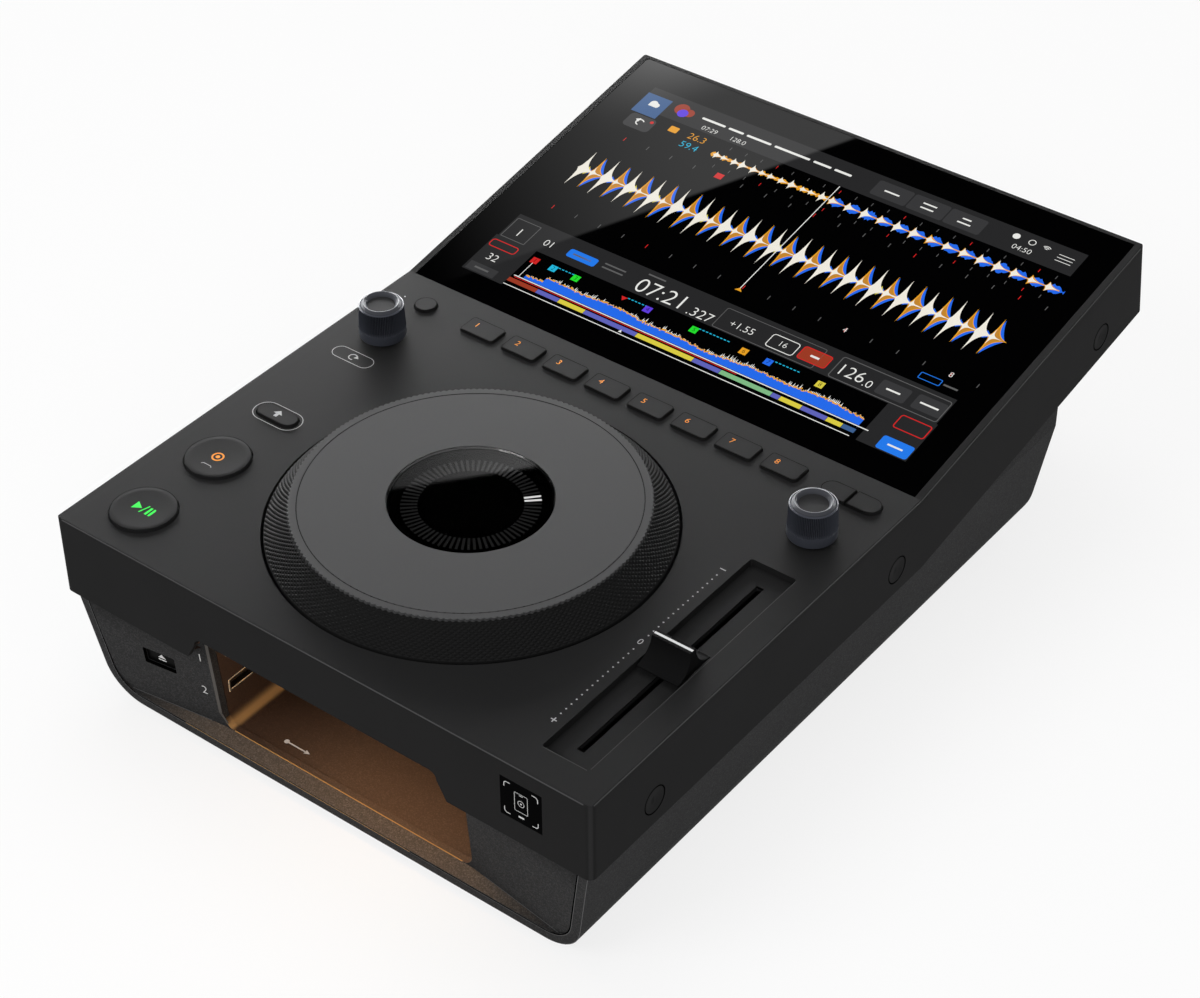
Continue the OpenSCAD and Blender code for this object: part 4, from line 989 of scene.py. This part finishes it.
READOUTS = (
    ("white", "top", numerals, ("1", -103.4, 43.2, 7), ("32", -103.6, 24.6, 6), ("01", -87.6, 44.0, 5.6)),
    ("white", "top", numerals, ("07:21", -26.6, 43.0, 12), (".327", -5.6, 41.2, 7.4), ("+1.55", 14.2, 43.6, 5.4)),
    ("white", "top", numerals, ("16", 34.4, 44.0, 4.4), ("126", 67.6, 44.2, 9), (".0", 76.6, 42.6, 6)),
    ("white", "top", numerals, ("07:29", -71.8, 140.8, 3.8), ("128.0", -56.6, 140.9, 3.8)),
    ("white", "top", numerals, ("04:50", 87.6, 142.6, 4.2), ("4", 51.4, 64.2, 4), ("8", 102.6, 64.2, 4)),
    ("white", "top", rect, *((106.4, 147.8 - 1.9 * i, 7.4, 0.32) for i in range(3)), (-104.2, 142.2, 4.6, 1.4)),
    ("white", "top", rounded_rect, (-73.2, 146.2, 12.6, 1.3, 0.5), (-61, 146.2, 8, 1.3, 0.5)),
    ("white", "top", rounded_rect, (-48.7, 146.2, 13, 1.3, 0.5), (-30.9, 146.2, 18.6, 1.3, 0.5)),
    ("white", "top", rounded_rect, (-15, 146.2, 9.2, 1.3, 0.5), (-4.2, 146.2, 8.8, 1.3, 0.5)),
    ("white", "top", disc, (81.6, 148.6, 1.7, 20), (-104.6, 143.6, 1.9, 24), (-102.8, 143.0, 1.5, 24)),
    ("white", "top", ring, (89.4, 148.4, 1.7, 0.35, 24)),
    ("orange", "front", numerals, ("26.3", -73.2, 133.2, 5.6)),
    ("orange", "front", rounded_rect, (-86, 133.2, 4.6, 3.8, 0.6)),
    ("cyan", "front", numerals, ("59.4", -73.4, 127.0, 5.6)),
    ("red", "front", rect, (-49.9, 117.4, 3.8, 3.4)),
    ("red", "front", disc, (-97.4, 132.2, 0.9, 16)),
    ("rust", "middle", disc, (-91, 146.6, 3.6, 24), (-86.6, 145.8, 2.6, 24)),
    ("violet", "front", disc, (-89.2, 144.4, 2.6, 24)),
    ("dim", "front", rect, (106.2, 58, 6.6, 0.9), (-70.0, 44.4, 9.5, 1.0), (-53.6, 46.6, 11, 0.8)),
    ("dim", "front", rect, (-53.6, 44.2, 11, 0.8), (-103.2, 16.6, 7.4, 1.0), (-34.4, 50.6, 9, 0.8)),
    ("white", "top", rect, (21.5, 145.4, 7.4, 0.9), (39.9, 147.0, 6.8, 0.8), (39.9, 144.2, 6.4, 0.8)),
    ("white", "top", rect, (58.3, 147.0, 4.2, 0.8), (58.3, 144.2, 6.4, 0.8), (87.8, 44.4, 6.6, 0.9)),
    ("white", "top", rect, (104.6, 44.8, 8.6, 0.9), (105.4, 18.6, 7, 0.9), (49.8, 44.6, 4.2, 1.1)),
)
# Colours and widths of the phrases, colours and places of the flags, starts and counts of the dashes
PHRASES = (
    ("rust", 15.5), ("mauve", 11.8), ("yellow", 13.6), ("mauve", 27.3), ("yellow", 29.0), ("mauve", 13.6),
    ("leaf", 25.5), ("mauve", 4.0), ("yellow", 10.5), ("mauve", 12.2), ("yellow", 7.4), ("slate", 6.2),
)
FLAGS = (
    ("red", -86.4), ("cyan", -76.6), ("green", -64.4), ("violet", -26.4),
    ("green", -2.4), ("orange", 22.8), ("blue", 35.0), ("yellow", 60.4),
)
DASHES = ((-74, 34.0, 7), (-37, 34.0, 6), (-0.4, 34.2, 9), (38, 34.2, 7))


class PLAYER_OT_screen(bpy.types.Operator):
    """Finish the glass and draw the lit picture"""

    bl_idname = "player.screen"
    bl_label = "Finish the screen"

    def execute(self, context):
        dress(polished("Screen glass"), "screen_glass")
        dress(moulded("Panel frame", (0.02, 0.02, 0.022)), "lcd_panel")
        picture = settings("picture")
        layers = {}
        draw_table(layers, PANELS)
        draw_main_wave(layers, picture)
        draw_strip_wave(layers, picture)
        draw_overview(layers, picture)
        draw_table(layers, READOUTS)
        draw_signs(layers)
        glass = SLOPE @ Matrix.Translation((0, 0, -GLASS_SINK))
        for name, groups in layers.items():
            material = lit("Picture " + name, PICTURE_COLOURS[name], picture.brightness)
            ink_layers("picture_" + name, groups, glass, material, slot="screen_glass", thick=0.004)
        return {"FINISHED"}


def draw(layers, name, level, *shapes):
    layers.setdefault(name, []).append((LEVELS[level], shapes))


def draw_table(layers, table):
    """Draws the rows of a table of shapes."""
    for name, level, shape, *sizes in table:
        draw(layers, name, level, *(shape(*size) for size in sizes))


def beat(u, v, height, reach, bite):
    """Beat that starts at once and dies away, with a hollow right side."""
    points = [(u - 1.1, 0.05 * height), (u - 0.5, 0.17 * height), (u - 0.14, 0.5 * height), (u, height)]
    for x in (0.03, 0.07, 0.12, 0.18, 0.26, 0.36, 0.48, 0.62, 0.8, 1.0):
        points.append((u + reach * x, height * (1 + bite * x) ** -1.5 * (1 - x)))
    return wave_body(points, v)


def wave_body(points, v):
    """Slices of a wave from (position, half height) points."""
    return [[(a, v - ha), (b, v - hb), (b, v + hb), (a, v + ha)] for (a, ha), (b, hb) in zip(points, points[1:])]


def draw_beat_marks(layers, start, pitch, count, first_red, heights, reach, line):
    """Short marks above and below a wave, each fourth one red."""
    ticks, red = [], []
    for i in range(count):
        u = start + i * pitch
        for v in heights:
            (red if i % 4 == first_red else ticks).append(stroke(u, v - reach, u, v + reach, line))
    draw(layers, "dim", "back", ticks)
    draw(layers, "red", "back", red)


def draw_main_wave(layers, picture):
    dice = random.Random(picture.seed)
    pitch = 12.79
    white, orange, brown, blue, pale, amber = [], [], [], [], [], []
    for i in range(picture.beats - 1):
        u = -106.6 + i * pitch
        white += beat(u, WAVE_V, 13.4 * dice.uniform(0.88, 1.0), 6.6, 2.6)
        blue += beat(u + 3.4, WAVE_V, 2.6, 4.0, 0.4)
        orange += beat(u + 2.6, WAVE_V, 1.7, 4.2, 0.4)
        between = u + pitch / 2
        tall = 12.8 * dice.uniform(0.86, 1.0)
        orange += beat(between, WAVE_V, tall, 7.4, 2.4)
        brown += beat(between + 0.5, WAVE_V, 0.72 * tall, 6.2, 2.4)
        blue += beat(between + 0.6, WAVE_V, 0.95 * tall, 5.8, 0.4)
        pale += beat(between, WAVE_V, 0.42 * tall * dice.uniform(0.5, 1.1), 5.6, 7.0)
        if dice.random() < 0.35:
            amber += beat(u + 3.2, WAVE_V, 3.0, 2.6, 0.2)
    thread = [(-108 + 1.3 * k, 0.12 + 0.3 * dice.random()) for k in range(166)]
    draw(layers, "blue", "back", *blue)
    draw(layers, "orange", "middle", *orange)
    draw(layers, "brown", "front", *brown)
    draw(layers, "yellow", "front", *amber)
    draw(layers, "cream", "top", *white, *pale, wave_body(thread, WAVE_V))
    draw_beat_marks(layers, -101.2, 12.72, 18, 0, (WAVE_V + 25.6, WAVE_V - 26.9), 1.2, 0.35)
    draw(layers, "white", "top", stroke(-0.4, 63, -0.4, 138, 0.4))
    draw(layers, "orange", "top", [(-2.2, 61.4), (1.4, 61.4), (-0.4, 63.4)])


def draw_strip_wave(layers, picture):
    dice = random.Random(picture.seed + 1)
    white, blue = [], []
    orange = wave_body([(-62 + 1.2 * k, 0.5 + 1.4 * dice.random() ** 2) for k in range(52)], STRIP_V)
    for i in range(12):
        white += beat(-60.5 + 5.1 * i + dice.uniform(-1, 1), STRIP_V, 3.4 * dice.uniform(0.4, 1.1), 4.2, 2.0)
    for i in range(14):
        u = 1 + 8.25 * i
        hump = [(u + 0.75 * k, 3.1 * abs(math.sin(0.29 * k + 0.3)) * dice.uniform(0.7, 1.15)) for k in range(12)]
        blue += wave_body(hump, STRIP_V)
        orange += beat(u, STRIP_V, 2.9 * dice.uniform(0.7, 1.2), 6.0, 1.0)
        white += beat(u + 0.3, STRIP_V, 3.8 * dice.uniform(0.5, 1.1), 5.0, 2.0)
    orange += wave_body([(2 + 2.2 * k, 0.35) for k in range(52)], STRIP_V)
    draw(layers, "blue", "back", blue)
    draw(layers, "orange", "middle", orange)
    draw(layers, "cream", "front", white)
    draw_beat_marks(layers, -56, 8.25, 21, 3, (STRIP_V + 6.6, STRIP_V - 6.6), 1.0, 0.3)


def draw_overview(layers, picture):
    """Whole track with its phrases, numbered flags and dashes."""
    dice = random.Random(picture.seed + 2)
    for k in range(232):
        u = -84 + k * 0.735
        swell = 2.5 + 1.9 * abs(math.sin(k * 0.021 + 0.6)) + 0.5 * math.sin(k * 0.13)
        top = OVERVIEW_V + swell * (0.35 if k < 12 else 1.0) + 0.9 * dice.random()
        amber = top + 0.3 + 0.8 * dice.random()
        peak = amber + (2.6 * dice.random() ** 1.5 if (k // 18) % 3 else 0.2)
        for name, low, high in (("blue", OVERVIEW_V, top), ("orange", top, amber)):
            draw(layers, name, "middle", [(u, low), (u + 0.74, low), (u + 0.74, high), (u, high)])
        draw(layers, "white", "middle", [(u, amber), (u + 0.6, amber), (u + 0.3, peak)])
    draw(layers, "white", "front", rect(1.4, 20.9, 180, 0.5), rect(-1.6, 14.6, 176, 0.4))
    draw(layers, "red", "front", rect(-30, 20.1, 116, 0.4))
    start = -89.6
    for name, width in PHRASES:
        draw(layers, name, "front", rect(start + width / 2, 17.9, width - 0.15, 2.4))
        start += width
    for number, (name, u) in enumerate(FLAGS, 1):
        draw(layers, name, "front", rect(u, 32.6, 3.6, 3.6))
        draw(layers, "ground", "top", numerals(str(number), u, 32.6, 3.2))
    draw(layers, "red", "front", [(-40.8, 34.0), (-39.2, 31.6), (-37.6, 34.0)])
    draw(layers, "white", "front", [(-29.2, 15.6), (-27.6, 15.6), (-28.4, 17.4)], stroke(-86.4, 21, -86.4, 31, 0.3))
    for u, v, count in DASHES:
        draw(layers, "cyan", "middle", *(rect(u + 1.8 * i, v, 1.1, 0.5) for i in range(count)))


def draw_signs(layers):
    """Fan of arcs and a returning arrow."""
    arcs = [ring(96.4, 147.0, 1.0 + 0.8 * i, 0.35, 32)[4:12] for i in range(3)]
    arrow = [(-105.4, 131.0), (-103.2, 132.4), (-103.4, 129.6)]
    draw(layers, "white", "top", arcs, ring(-102.4, 129.8, 2.1, 0.6, 24)[2:18], arrow)


# ---- Jog wheel ----

# Radius and height
SKIRT_INSIDE = ((66.4, 10.75), (76.4, -2.1), (79.4, -2.1))


def knurl(wheel, place, material):
    """Skirt covered in small pyramids, with a plain foot under the deck's edge."""
    columns, rows = wheel.columns, wheel.rows
    low_r, high_r = 79.4, 69.35
    low_z, high_z = 0.3, 10.75
    out, up = 0.72 * wheel.relief / MM, 0.69 * wheel.relief / MM
    bm = bmesh.new()
    grid = []
    for j in range(rows + 1):
        share = j / rows
        low, high = (
            disc(0, 0, low_r + (high_r - low_r) * share + lift, columns) for lift in (0, out if 0 < j < rows else 0)
        )
        z = low_z + (high_z - low_z) * share
        row = []
        for i in range(columns):
            raised = (i + j) % 2 == 0 and 0 < j < rows
            row.append(bm.verts.new((*(high if raised else low)[i], z + up * raised)))
        grid.append(row)
    for j in range(rows):
        for i in range(columns):
            k = (i + 1) % columns
            a, b, c, d = grid[j][i], grid[j][k], grid[j + 1][i], grid[j + 1][k]
            for corners in ((a, b, c), (b, d, c)) if (i + j) % 2 == 0 else ((a, b, d), (a, d, c)):
                bm.faces.new(corners)
    under = [[bm.verts.new((*point, z)) for point in disc(0, 0, r, columns)] for r, z in SKIRT_INSIDE]
    skin(bm, [grid[-1], *under, grid[0]])
    return link("knurled_skirt", to_mesh(bm, "knurled_skirt", place), material, "jog", "wheel_plastic")


class PLAYER_OT_wheel(bpy.types.Operator):
    """Make the knurled skirt, the top plate's finish and the round display"""

    bl_idname = "player.wheel"
    bl_label = "Make the jog wheel"

    def execute(self, context):
        wheel = settings("wheel")
        centre = DECK @ Matrix.Translation((0, WHEEL_Y, 0))
        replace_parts(knurl(wheel, centre, moulded("Skirt plastic", wheel.skirt, 0.45, 0.005)), "jog_ring")
        satin = satin_plate("Wheel plate", wheel.plate, centre.translation)
        dress(satin, "jog_top_plate")
        make_plate_rim(centre, satin)
        dress(moulded("Hub plastic", grey(0.01)), "jog_hub", "jog_tray", "jog_post", "jog_display")
        dress(moulded("Bearing plastic", (0.6, 0.57, 0.5), 0.35), "jog_bearing")
        make_lens(centre)
        return {"FINISHED"}


def satin_plate(name, base, centre):
    """Dark satin plate with very fine turned lines, and painted shade of one groove round its axis."""
    material, tree, shader = start_material(name, base, specular=0.01)
    shift = {"Vector": location(tree), "Location": tuple(-c for c in centre)}
    offset = axes(tree, add(tree, "Mapping", shift)["Vector"])
    flat = add(tree, "CombineXYZ", {"X": offset["X"], "Y": offset["Y"]})["Vector"]
    radius = add(tree, "VectorMath", {0: flat}, operation="LENGTH")["Value"]
    lines = add(tree, "TexNoise", {"W": radius, "Scale": 2600.0, "Detail": 2.0}, noise_dimensions="1D")["Fac"]
    # painted shade of the groove, as a thin dark ring
    from_groove = maths(tree, "ABSOLUTE", maths(tree, "SUBTRACT", radius, 0.0662))
    tone = mix(tree, maths(tree, "LESS_THAN", from_groove, 0.00021), base, grey(0.012), "MIX")
    feed(tree, shader, {"Base Color": tone, "Roughness": handled(tree, 0.5), "Normal": bump(tree, lines, 0.1, 0.01)})
    return material


def make_plate_rim(centre, satin):
    """Teeth round the plate's edge, flush with its top."""
    angles = [math.radians(i / 2) for i in range(720)]
    rows = []
    for lift, inset in ((11.3, 0.0), (11.85, 0.0), (11.97, 0.15)):
        radii = [(69.5, 69.72, 69.5, 69.1)[i % 4] - inset for i in range(720)]
        rows.append([(r * math.cos(a), r * math.sin(a), lift) for a, r in zip(angles, radii)])
    rows += [[(68.4 * math.cos(a), 68.4 * math.sin(a), lift) for a in angles] for lift in (11.97, 11.3)]
    wrapped("plate_rim", rows, centre, satin, "jog", "wheel_plate")


def make_lens(centre):
    """Round display with a ring of minute ticks, under a flat glass level with the plate."""
    top, owner = LENS_TOP, ("player", "screen_glass")
    black = moulded("Display face", grey(0.0008), 0.6, 0.0)
    profile = [(0, top - 1), (30.8, top - 1), (31.4, top - 0.7), (31.4, top - 0.1), (31.3, top), (0, top)]
    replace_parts(turned("display_face", profile, centre, black, *owner), "jog_lens")
    collar = [(31.35, top - 0.05), (31.35, 10.97), (30.9, 10.97), (30.9, top - 0.05), (31.35, top - 0.05)]
    turned("display_collar", collar, centre, black, *owner)
    clear = polished("Display glass", grey(0.9), 0.17, **{"Transmission Weight": 1.0, "IOR": 1.45})
    turned("display_glass", [(0, 10.95), (32.05, 10.95), (32.05, 11.86), (0, 11.86)], centre, clear, *owner)
    ticks = []
    for i in range(72):
        a = 2 * math.pi * (i + 0.5) / 72
        c, s = math.cos(a), math.sin(a)
        ticks.append(stroke(20.4 * c, 20.4 * s, 27.0 * c, 27.0 * s, 1.05))
    grey_tick, white_tick = lit("Tick grey", grey(0.013)), lit("Tick white", grey(0.9))
    ink("display_ticks", top + 0.012, ticks[:8] + ticks[10:], centre, grey_tick, *owner, thick=0.02)
    ink("display_pointer", top + 0.012, ticks[8:10], centre, white_tick, *owner, thick=0.02)


# ---- Buttons, pads and their marks ----


class PLAYER_OT_buttons(bpy.types.Operator):
    """Finish the buttons and pads and print their marks"""

    bl_idname = "player.buttons"
    bl_label = "Finish the buttons"

    def execute(self, context):
        colours = settings("control")
        pads = [f"pad_{i + 1}" for i in range(PADS)]
        caps = [f"{name}_button" for name in ("play", "cue", "shift", "erase", "back", "tag")]
        dress(moulded("Button plastic", colours.button, specular=0.01), *caps, *pads)
        soften(0.14, *caps, *pads)
        amber = print_ink("Amber mark", colours.cue, glow=0.15)
        green = print_ink("Green mark", colours.play, glow=0.6)
        pale = print_ink("Grey print", colours.mark)
        for i, x in enumerate(pad_places()):
            figure = numerals(str(i + 1), x - 3.8, 194.3, 4.2)
            ink(f"pad_mark_{i + 1}", KEY_TOP + 0.03, figure, DECK, amber, f"pad_key_{i + 1}", "button_plastic")
        bars = [[(-4.6, -2.3), (-4.6, 2.3), (-0.9, 0)], rect(2.7, 0, 1.0, 4.4), rect(4.5, 0, 1.0, 4.4)]
        bars = moved([*bars, stroke(-0.3, -2.5, 1.1, 2.5, 0.5)], -105.3, 23.3)
        ink("play_mark", KEY_TOP - 0.3, bars, DECK, green, "play_key", "button_plastic")
        cue = [ring(-104.9, 64.2, 2.6, 0.7, 32), disc(-104.9, 64.2, 0.9, 20)]
        ink("cue_mark", KEY_TOP - 0.3, cue, DECK, amber, "cue_key", "button_plastic")
        small = box_line(-104.9, 56.9, 5.6, 2.8, 1.35, 0.3)
        ink("cue_small_mark", KEY_TOP - 0.25, small, DECK, pale, "cue_key", "button_plastic")
        print_deck(pale)
        outline_buttons()
        return {"FINISHED"}


def pad_places():
    return [(i - (PADS - 1) / 2) * PAD_PITCH for i in range(PADS)]


def outline_buttons():
    """Painted shade of the gaps round the tops of the buttons and pads, as dark lines."""
    dark = moulded("Button gap shade", grey(0.0035), 0.7, 0.0)
    shapes = {
        "play_key": ring(*PLAY, ROUND_R - 0.1, 0.3, 96),
        "cue_key": ring(*CUE, ROUND_R - 0.1, 0.3, 96),
        "erase_key": ring(*ERASE, 4.7, 0.34, 48),
        "shift_key": box_line(*SHIFT, 19.4, 8.0, 4.0, 0.3),
    }
    for i, x in enumerate(pad_places()):
        shapes[f"pad_key_{i + 1}"] = box_line(x, PAD_Y, 16.9, 10.1, 1.4, 0.3)
    for body, side in (("back_key", -1), ("tag_key", 1)):
        shapes[body] = moved(band(half_pill(side, 0.1), half_pill(side, 0.42)), PILL_X, PILL_Y)
    for body, shape in shapes.items():
        lift = KEY_TOP if body in ("play_key", "cue_key") else KEY_TOP + 0.015
        ink(f"{body}_line", lift, shape, DECK, dark, body, "button_plastic")


def half_pill(side, inset):
    r, inner = 4.8 - inset, 0.5 + inset
    bow = [(side * (8.6 + r * math.cos(a)), r * math.sin(a)) for a in (math.pi * (k / 16 - 0.5) for k in range(17))]
    return bow + [(side * inner, r), (side * inner, -r)]


def print_deck(pale):
    """Scale of the tempo slider, the outlines round buttons, a painted highlight along the slider recess's edges, and
    painted shade inside the slot.
    """
    shapes = numerals("0", 92.2, SCALE_Y, 4.2)
    shapes += [rect(SCALE_X, 27.1, 2.6, 0.45), rect(SCALE_X, 27.1, 0.45, 2.6), rect(SCALE_X, 129.5, 2.6, 0.45)]
    step = (SCALE_Y - 31.1) / 15.5
    shapes += [disc(SCALE_X, SCALE_Y + side * step * (i + 0.5), 0.34, 12) for side in (-1, 1) for i in range(1, 16)]
    shapes += [box_line(*SHIFT, 23.4, 12.0, 5.9, 0.3), box_line(-107.4, 147.1, 20.6, 7.6, 3.7, 0.28)]
    shapes += [ring(-107.4, 147.1, 2.0, 0.45, 24)[2:20], [(-106.2, 148.9), (-104.6, 147.3), (-106.7, 146.6)]]
    ink("deck_print", 0.03, [*shapes, disc(-118.6, 193.1, 0.35, 12)], DECK, pale)
    mark = moved([[(-2.2, 0.1), (2.2, 0.1), (0, 2.3)], rect(0, -0.9, 1.5, 1.8)], *SHIFT)
    ink("shift_mark", KEY_TOP + 0.03, mark, DECK, pale, "shift_key", "button_plastic")
    # painted highlight along the recess's right and front edges
    glint = moulded("Recess sheen", grey(0.05), specular=0.02)
    edges = [rect(118.25, SLIDER_Y, 0.25, 125), rect(SLIDER_X, SLIDER_Y - 63.65, 19.5, 0.25)]
    ink("recess_edge", 0.02, edges, DECK, glint)
    # painted shade on the slot's walls, squaring its rounded ends
    black = moulded("Slot shade", grey(0.001), 0.9, 0.0)
    outer, inner = (rounded_rect(SLIDER_X, SLIDER_Y, *size) for size in ((3.2, 109.6, 0.2), (2.5, 107.6, 0.1)))
    ink("slot_edge", -3.17, band(outer, inner), DECK, black)


# ---- Knobs and slider ----

# Height, radius and whether ribbed, from the foot over the top and down the inside
KNOB_OUTLINE = (
    (0.9, 9.3, 0), (1.1, 9.75, 0), (1.9, 9.92, 0), (5.2, 9.84, 0),
    (6.4, 9.8, 1), (10.5, 9.62, 1), (15.25, 9.46, 1),
    (15.45, 9.4, 0), (15.65, 9.25, 0), (15.8, 9.0, 0), (15.8, 8.7, 0), (15.6, 8.55, 0),
    (14.9, 8.5, 0), (14.9, 3.2, 0), (0.9, 3.2, 0),
)
# Radius and height
KNOB_RIM = (
    (8.5, 14.9), (8.5, 15.7), (8.3, 15.95), (7.6, 16.85), (7.46, 16.98), (7.2, 16.98), (5.85, 15.4), (5.8, 14.9),
)
KNOB_RIBS = 84
RIB_DEPTH = (0, 0.455, 0.7, 0.455)


class PLAYER_OT_knobs(bpy.types.Operator):
    """Finish the rotary knobs and the tempo slider"""

    bl_idname = "player.knobs"
    bl_label = "Finish the knobs and slider"

    def execute(self, context):
        colours = settings("control")
        finishes = (
            moulded("Knob rubber", colours.knob, 0.42, 0.1, pits=3500.0),
            # painted shade for the bottoms of the grooves
            moulded("Knob groove", scaled(colours.knob, 0.7), 0.6, 0.02),
            moulded("Knob rim", (0.05, 0.052, 0.06), 0.42, 0.045),
            # painted highlight for the rim's top edge
            moulded("Knob rim edge", (0.26, 0.265, 0.28), 0.4, 0.05),
            moulded("Knob dish", (0.022, 0.022, 0.023), 0.5, 0.02),
        )
        make_knob("loop", -KNOB_X, *finishes)
        make_knob("browse", KNOB_X, *finishes)
        dress(metal("Shaft steel", (0.6, 0.61, 0.63), 0.2), "loop_shaft", "browse_shaft", "encoders")
        dress(moulded("Plunger plastic", (0.7, 0.68, 0.62)), "loop_plunger", "browse_plunger")
        dress(moulded("Slider cap", (0.0065, 0.0065, 0.0067), 0.45, 0.004), "tempo_cap")
        soften(0.3, "tempo_cap")
        dress(moulded("Blackened steel", (0.004, 0.004, 0.0042), 0.5, 0.02), "tempo_unit", "tempo_carriage")
        white = print_ink("White line", grey(0.75), roughness=0.3)
        ink("cap_line", 9.03, [rect(SLIDER_X, SLIDER_Y, 17.0, 1.1)], DECK, white, "tempo", "slider_cap")
        return {"FINISHED"}


def make_knob(side, x, rubber, groove, rim, edge, dish):
    """Ribbed knob with painted shade in its grooves, a smooth foot, a round shoulder, a rim with a painted highlight
    on its top edge, and a shallow dish.
    """
    centre = DECK @ Matrix.Translation((x, KNOB_Y, 0))
    owner = (f"{side}_turn", "knob_rubber")
    columns = KNOB_RIBS * 4
    rows = []
    for z, r, ribbed in KNOB_OUTLINE:
        row = []
        for i in range(columns):
            a, reach = 2 * math.pi * i / columns, r - ribbed * RIB_DEPTH[i % 4]
            row.append((reach * math.cos(a), reach * math.sin(a), z))
        rows.append(row)
    knob = wrapped(f"{side}_grip", rows, centre, rubber, *owner)
    shade(knob, 35)
    # painted shade in the bottoms of the grooves
    knob.data.materials.append(groove)
    for k, (start, end) in enumerate(zip(KNOB_OUTLINE, KNOB_OUTLINE[1:])):
        if start[2] and end[2]:
            for i in range(columns):
                knob.data.polygons[k * columns + i].material_index = int(i % 4 in (1, 2))
    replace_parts(knob, f"{side}_knob")
    turned(f"{side}_rim", KNOB_RIM + KNOB_RIM[:1], centre, rim, *owner, 96, 60)
    # painted highlight on the rim's top edge
    ink(f"{side}_rim_edge", 17.0, ring(0, 0, 7.46, 0.24, 96), centre, edge, *owner)
    turned(f"{side}_dish", [(0, 14.9), (5.8, 14.9), (5.8, 15.35), (0, 15.45)], centre, dish, *owner, 64)


# ---- Rear and inner pieces ----


class PLAYER_OT_rear(bpy.types.Operator):
    """Finish the rear connectors and the pieces inside"""

    bl_idname = "player.rear"
    bl_label = "Finish the rear and the inside"

    def execute(self, context):
        plate = sparkled("Rear plate paint", (0.03, 0.03, 0.031), grey(0.09), flecks=2200.0)
        dress(plate, "rear_plate", "jack_plate")
        dress(moulded("Socket plastic", grey(0.012), 0.45), "mains_inlet")
        dress(moulded("Switch plastic", grey(0.02), 0.4), "power_button")
        dress(metal("Jack plating", (0.16, 0.15, 0.14), 0.45), "audio_jacks")
        dress(deep_shell("Network shell", (0.11, 0.106, 0.102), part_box("network_jack")[1].y), "network_jack")
        board = moulded("Circuit board", (0.01, 0.11, 0.045), 0.35, 0.5, pits=900.0)
        dress(board, "usb_board", "screen_board", "left_board", "pad_board", "main_board")
        dress(moulded("Supply parts", (0.28, 0.19, 0.07)), "power_supply")
        return {"FINISHED"}


def deep_shell(name, base, mouth_y):
    """Plated shell with painted shade on its inside, behind its mouth."""
    material = metal(name, base, 0.38)
    tree = material.node_tree
    inside = ramp(tree, axes(tree, location(tree))["Y"], mouth_y - 0.0006, mouth_y - 0.003)
    feed(tree, tree.nodes["Principled BSDF"], {"Base Color": mix(tree, inside, base, grey(0.008), "MIX")})
    return material


class PLAYER_PT_panel(bpy.types.Panel):
    """Shows the player's settings and the buttons that finish its pieces"""

    bl_idname = "PLAYER_PT_panel"
    bl_label = "Tabletop media player"
    bl_space_type = "VIEW_3D"
    bl_region_type = "UI"
    bl_category = "Player"

    def draw(self, context):
        for name in SETTINGS:
            group = settings(name)
            box = self.layout.box()
            for key in group.__annotations__:
                box.prop(group, key)
        for operator in OPERATORS:
            self.layout.operator(operator.bl_idname)


SETTINGS = {
    "case": CaseSettings,
    "control": ControlSettings,
    "wheel": WheelSettings,
    "picture": PictureSettings,
    "stage": StageSettings,
}
POLISHED = ("screen_glass", "display_glass", "display_ticks", "display_pointer", "front_badge")
OPERATORS = (
    PLAYER_OT_stage,
    PLAYER_OT_case,
    PLAYER_OT_bay,
    PLAYER_OT_screen,
    PLAYER_OT_wheel,
    PLAYER_OT_buttons,
    PLAYER_OT_knobs,
    PLAYER_OT_rear,
)
CLASSES = (*SETTINGS.values(), *OPERATORS, PLAYER_PT_panel)


def register():
    for cls in CLASSES:
        bpy.utils.register_class(cls)
    for name, cls in SETTINGS.items():
        setattr(bpy.types.Scene, "player_" + name, PointerProperty(type=cls))


def unregister():
    for name in SETTINGS:
        delattr(bpy.types.Scene, "player_" + name)
    for cls in reversed(CLASSES):
        bpy.utils.unregister_class(cls)


def main():
    register()
    for fill, inputs in EFFECT_INPUTS.items():
        make_effect(fill, inputs)
    bpy.ops.player.stage()
    bpy.ops.player.case()
    bpy.ops.player.bay()
    bpy.ops.player.screen()
    bpy.ops.player.wheel()
    bpy.ops.player.buttons()
    bpy.ops.player.knobs()
    bpy.ops.player.rear()
    keep_strip_off_glass()


if __name__ == "__main__":
    main()
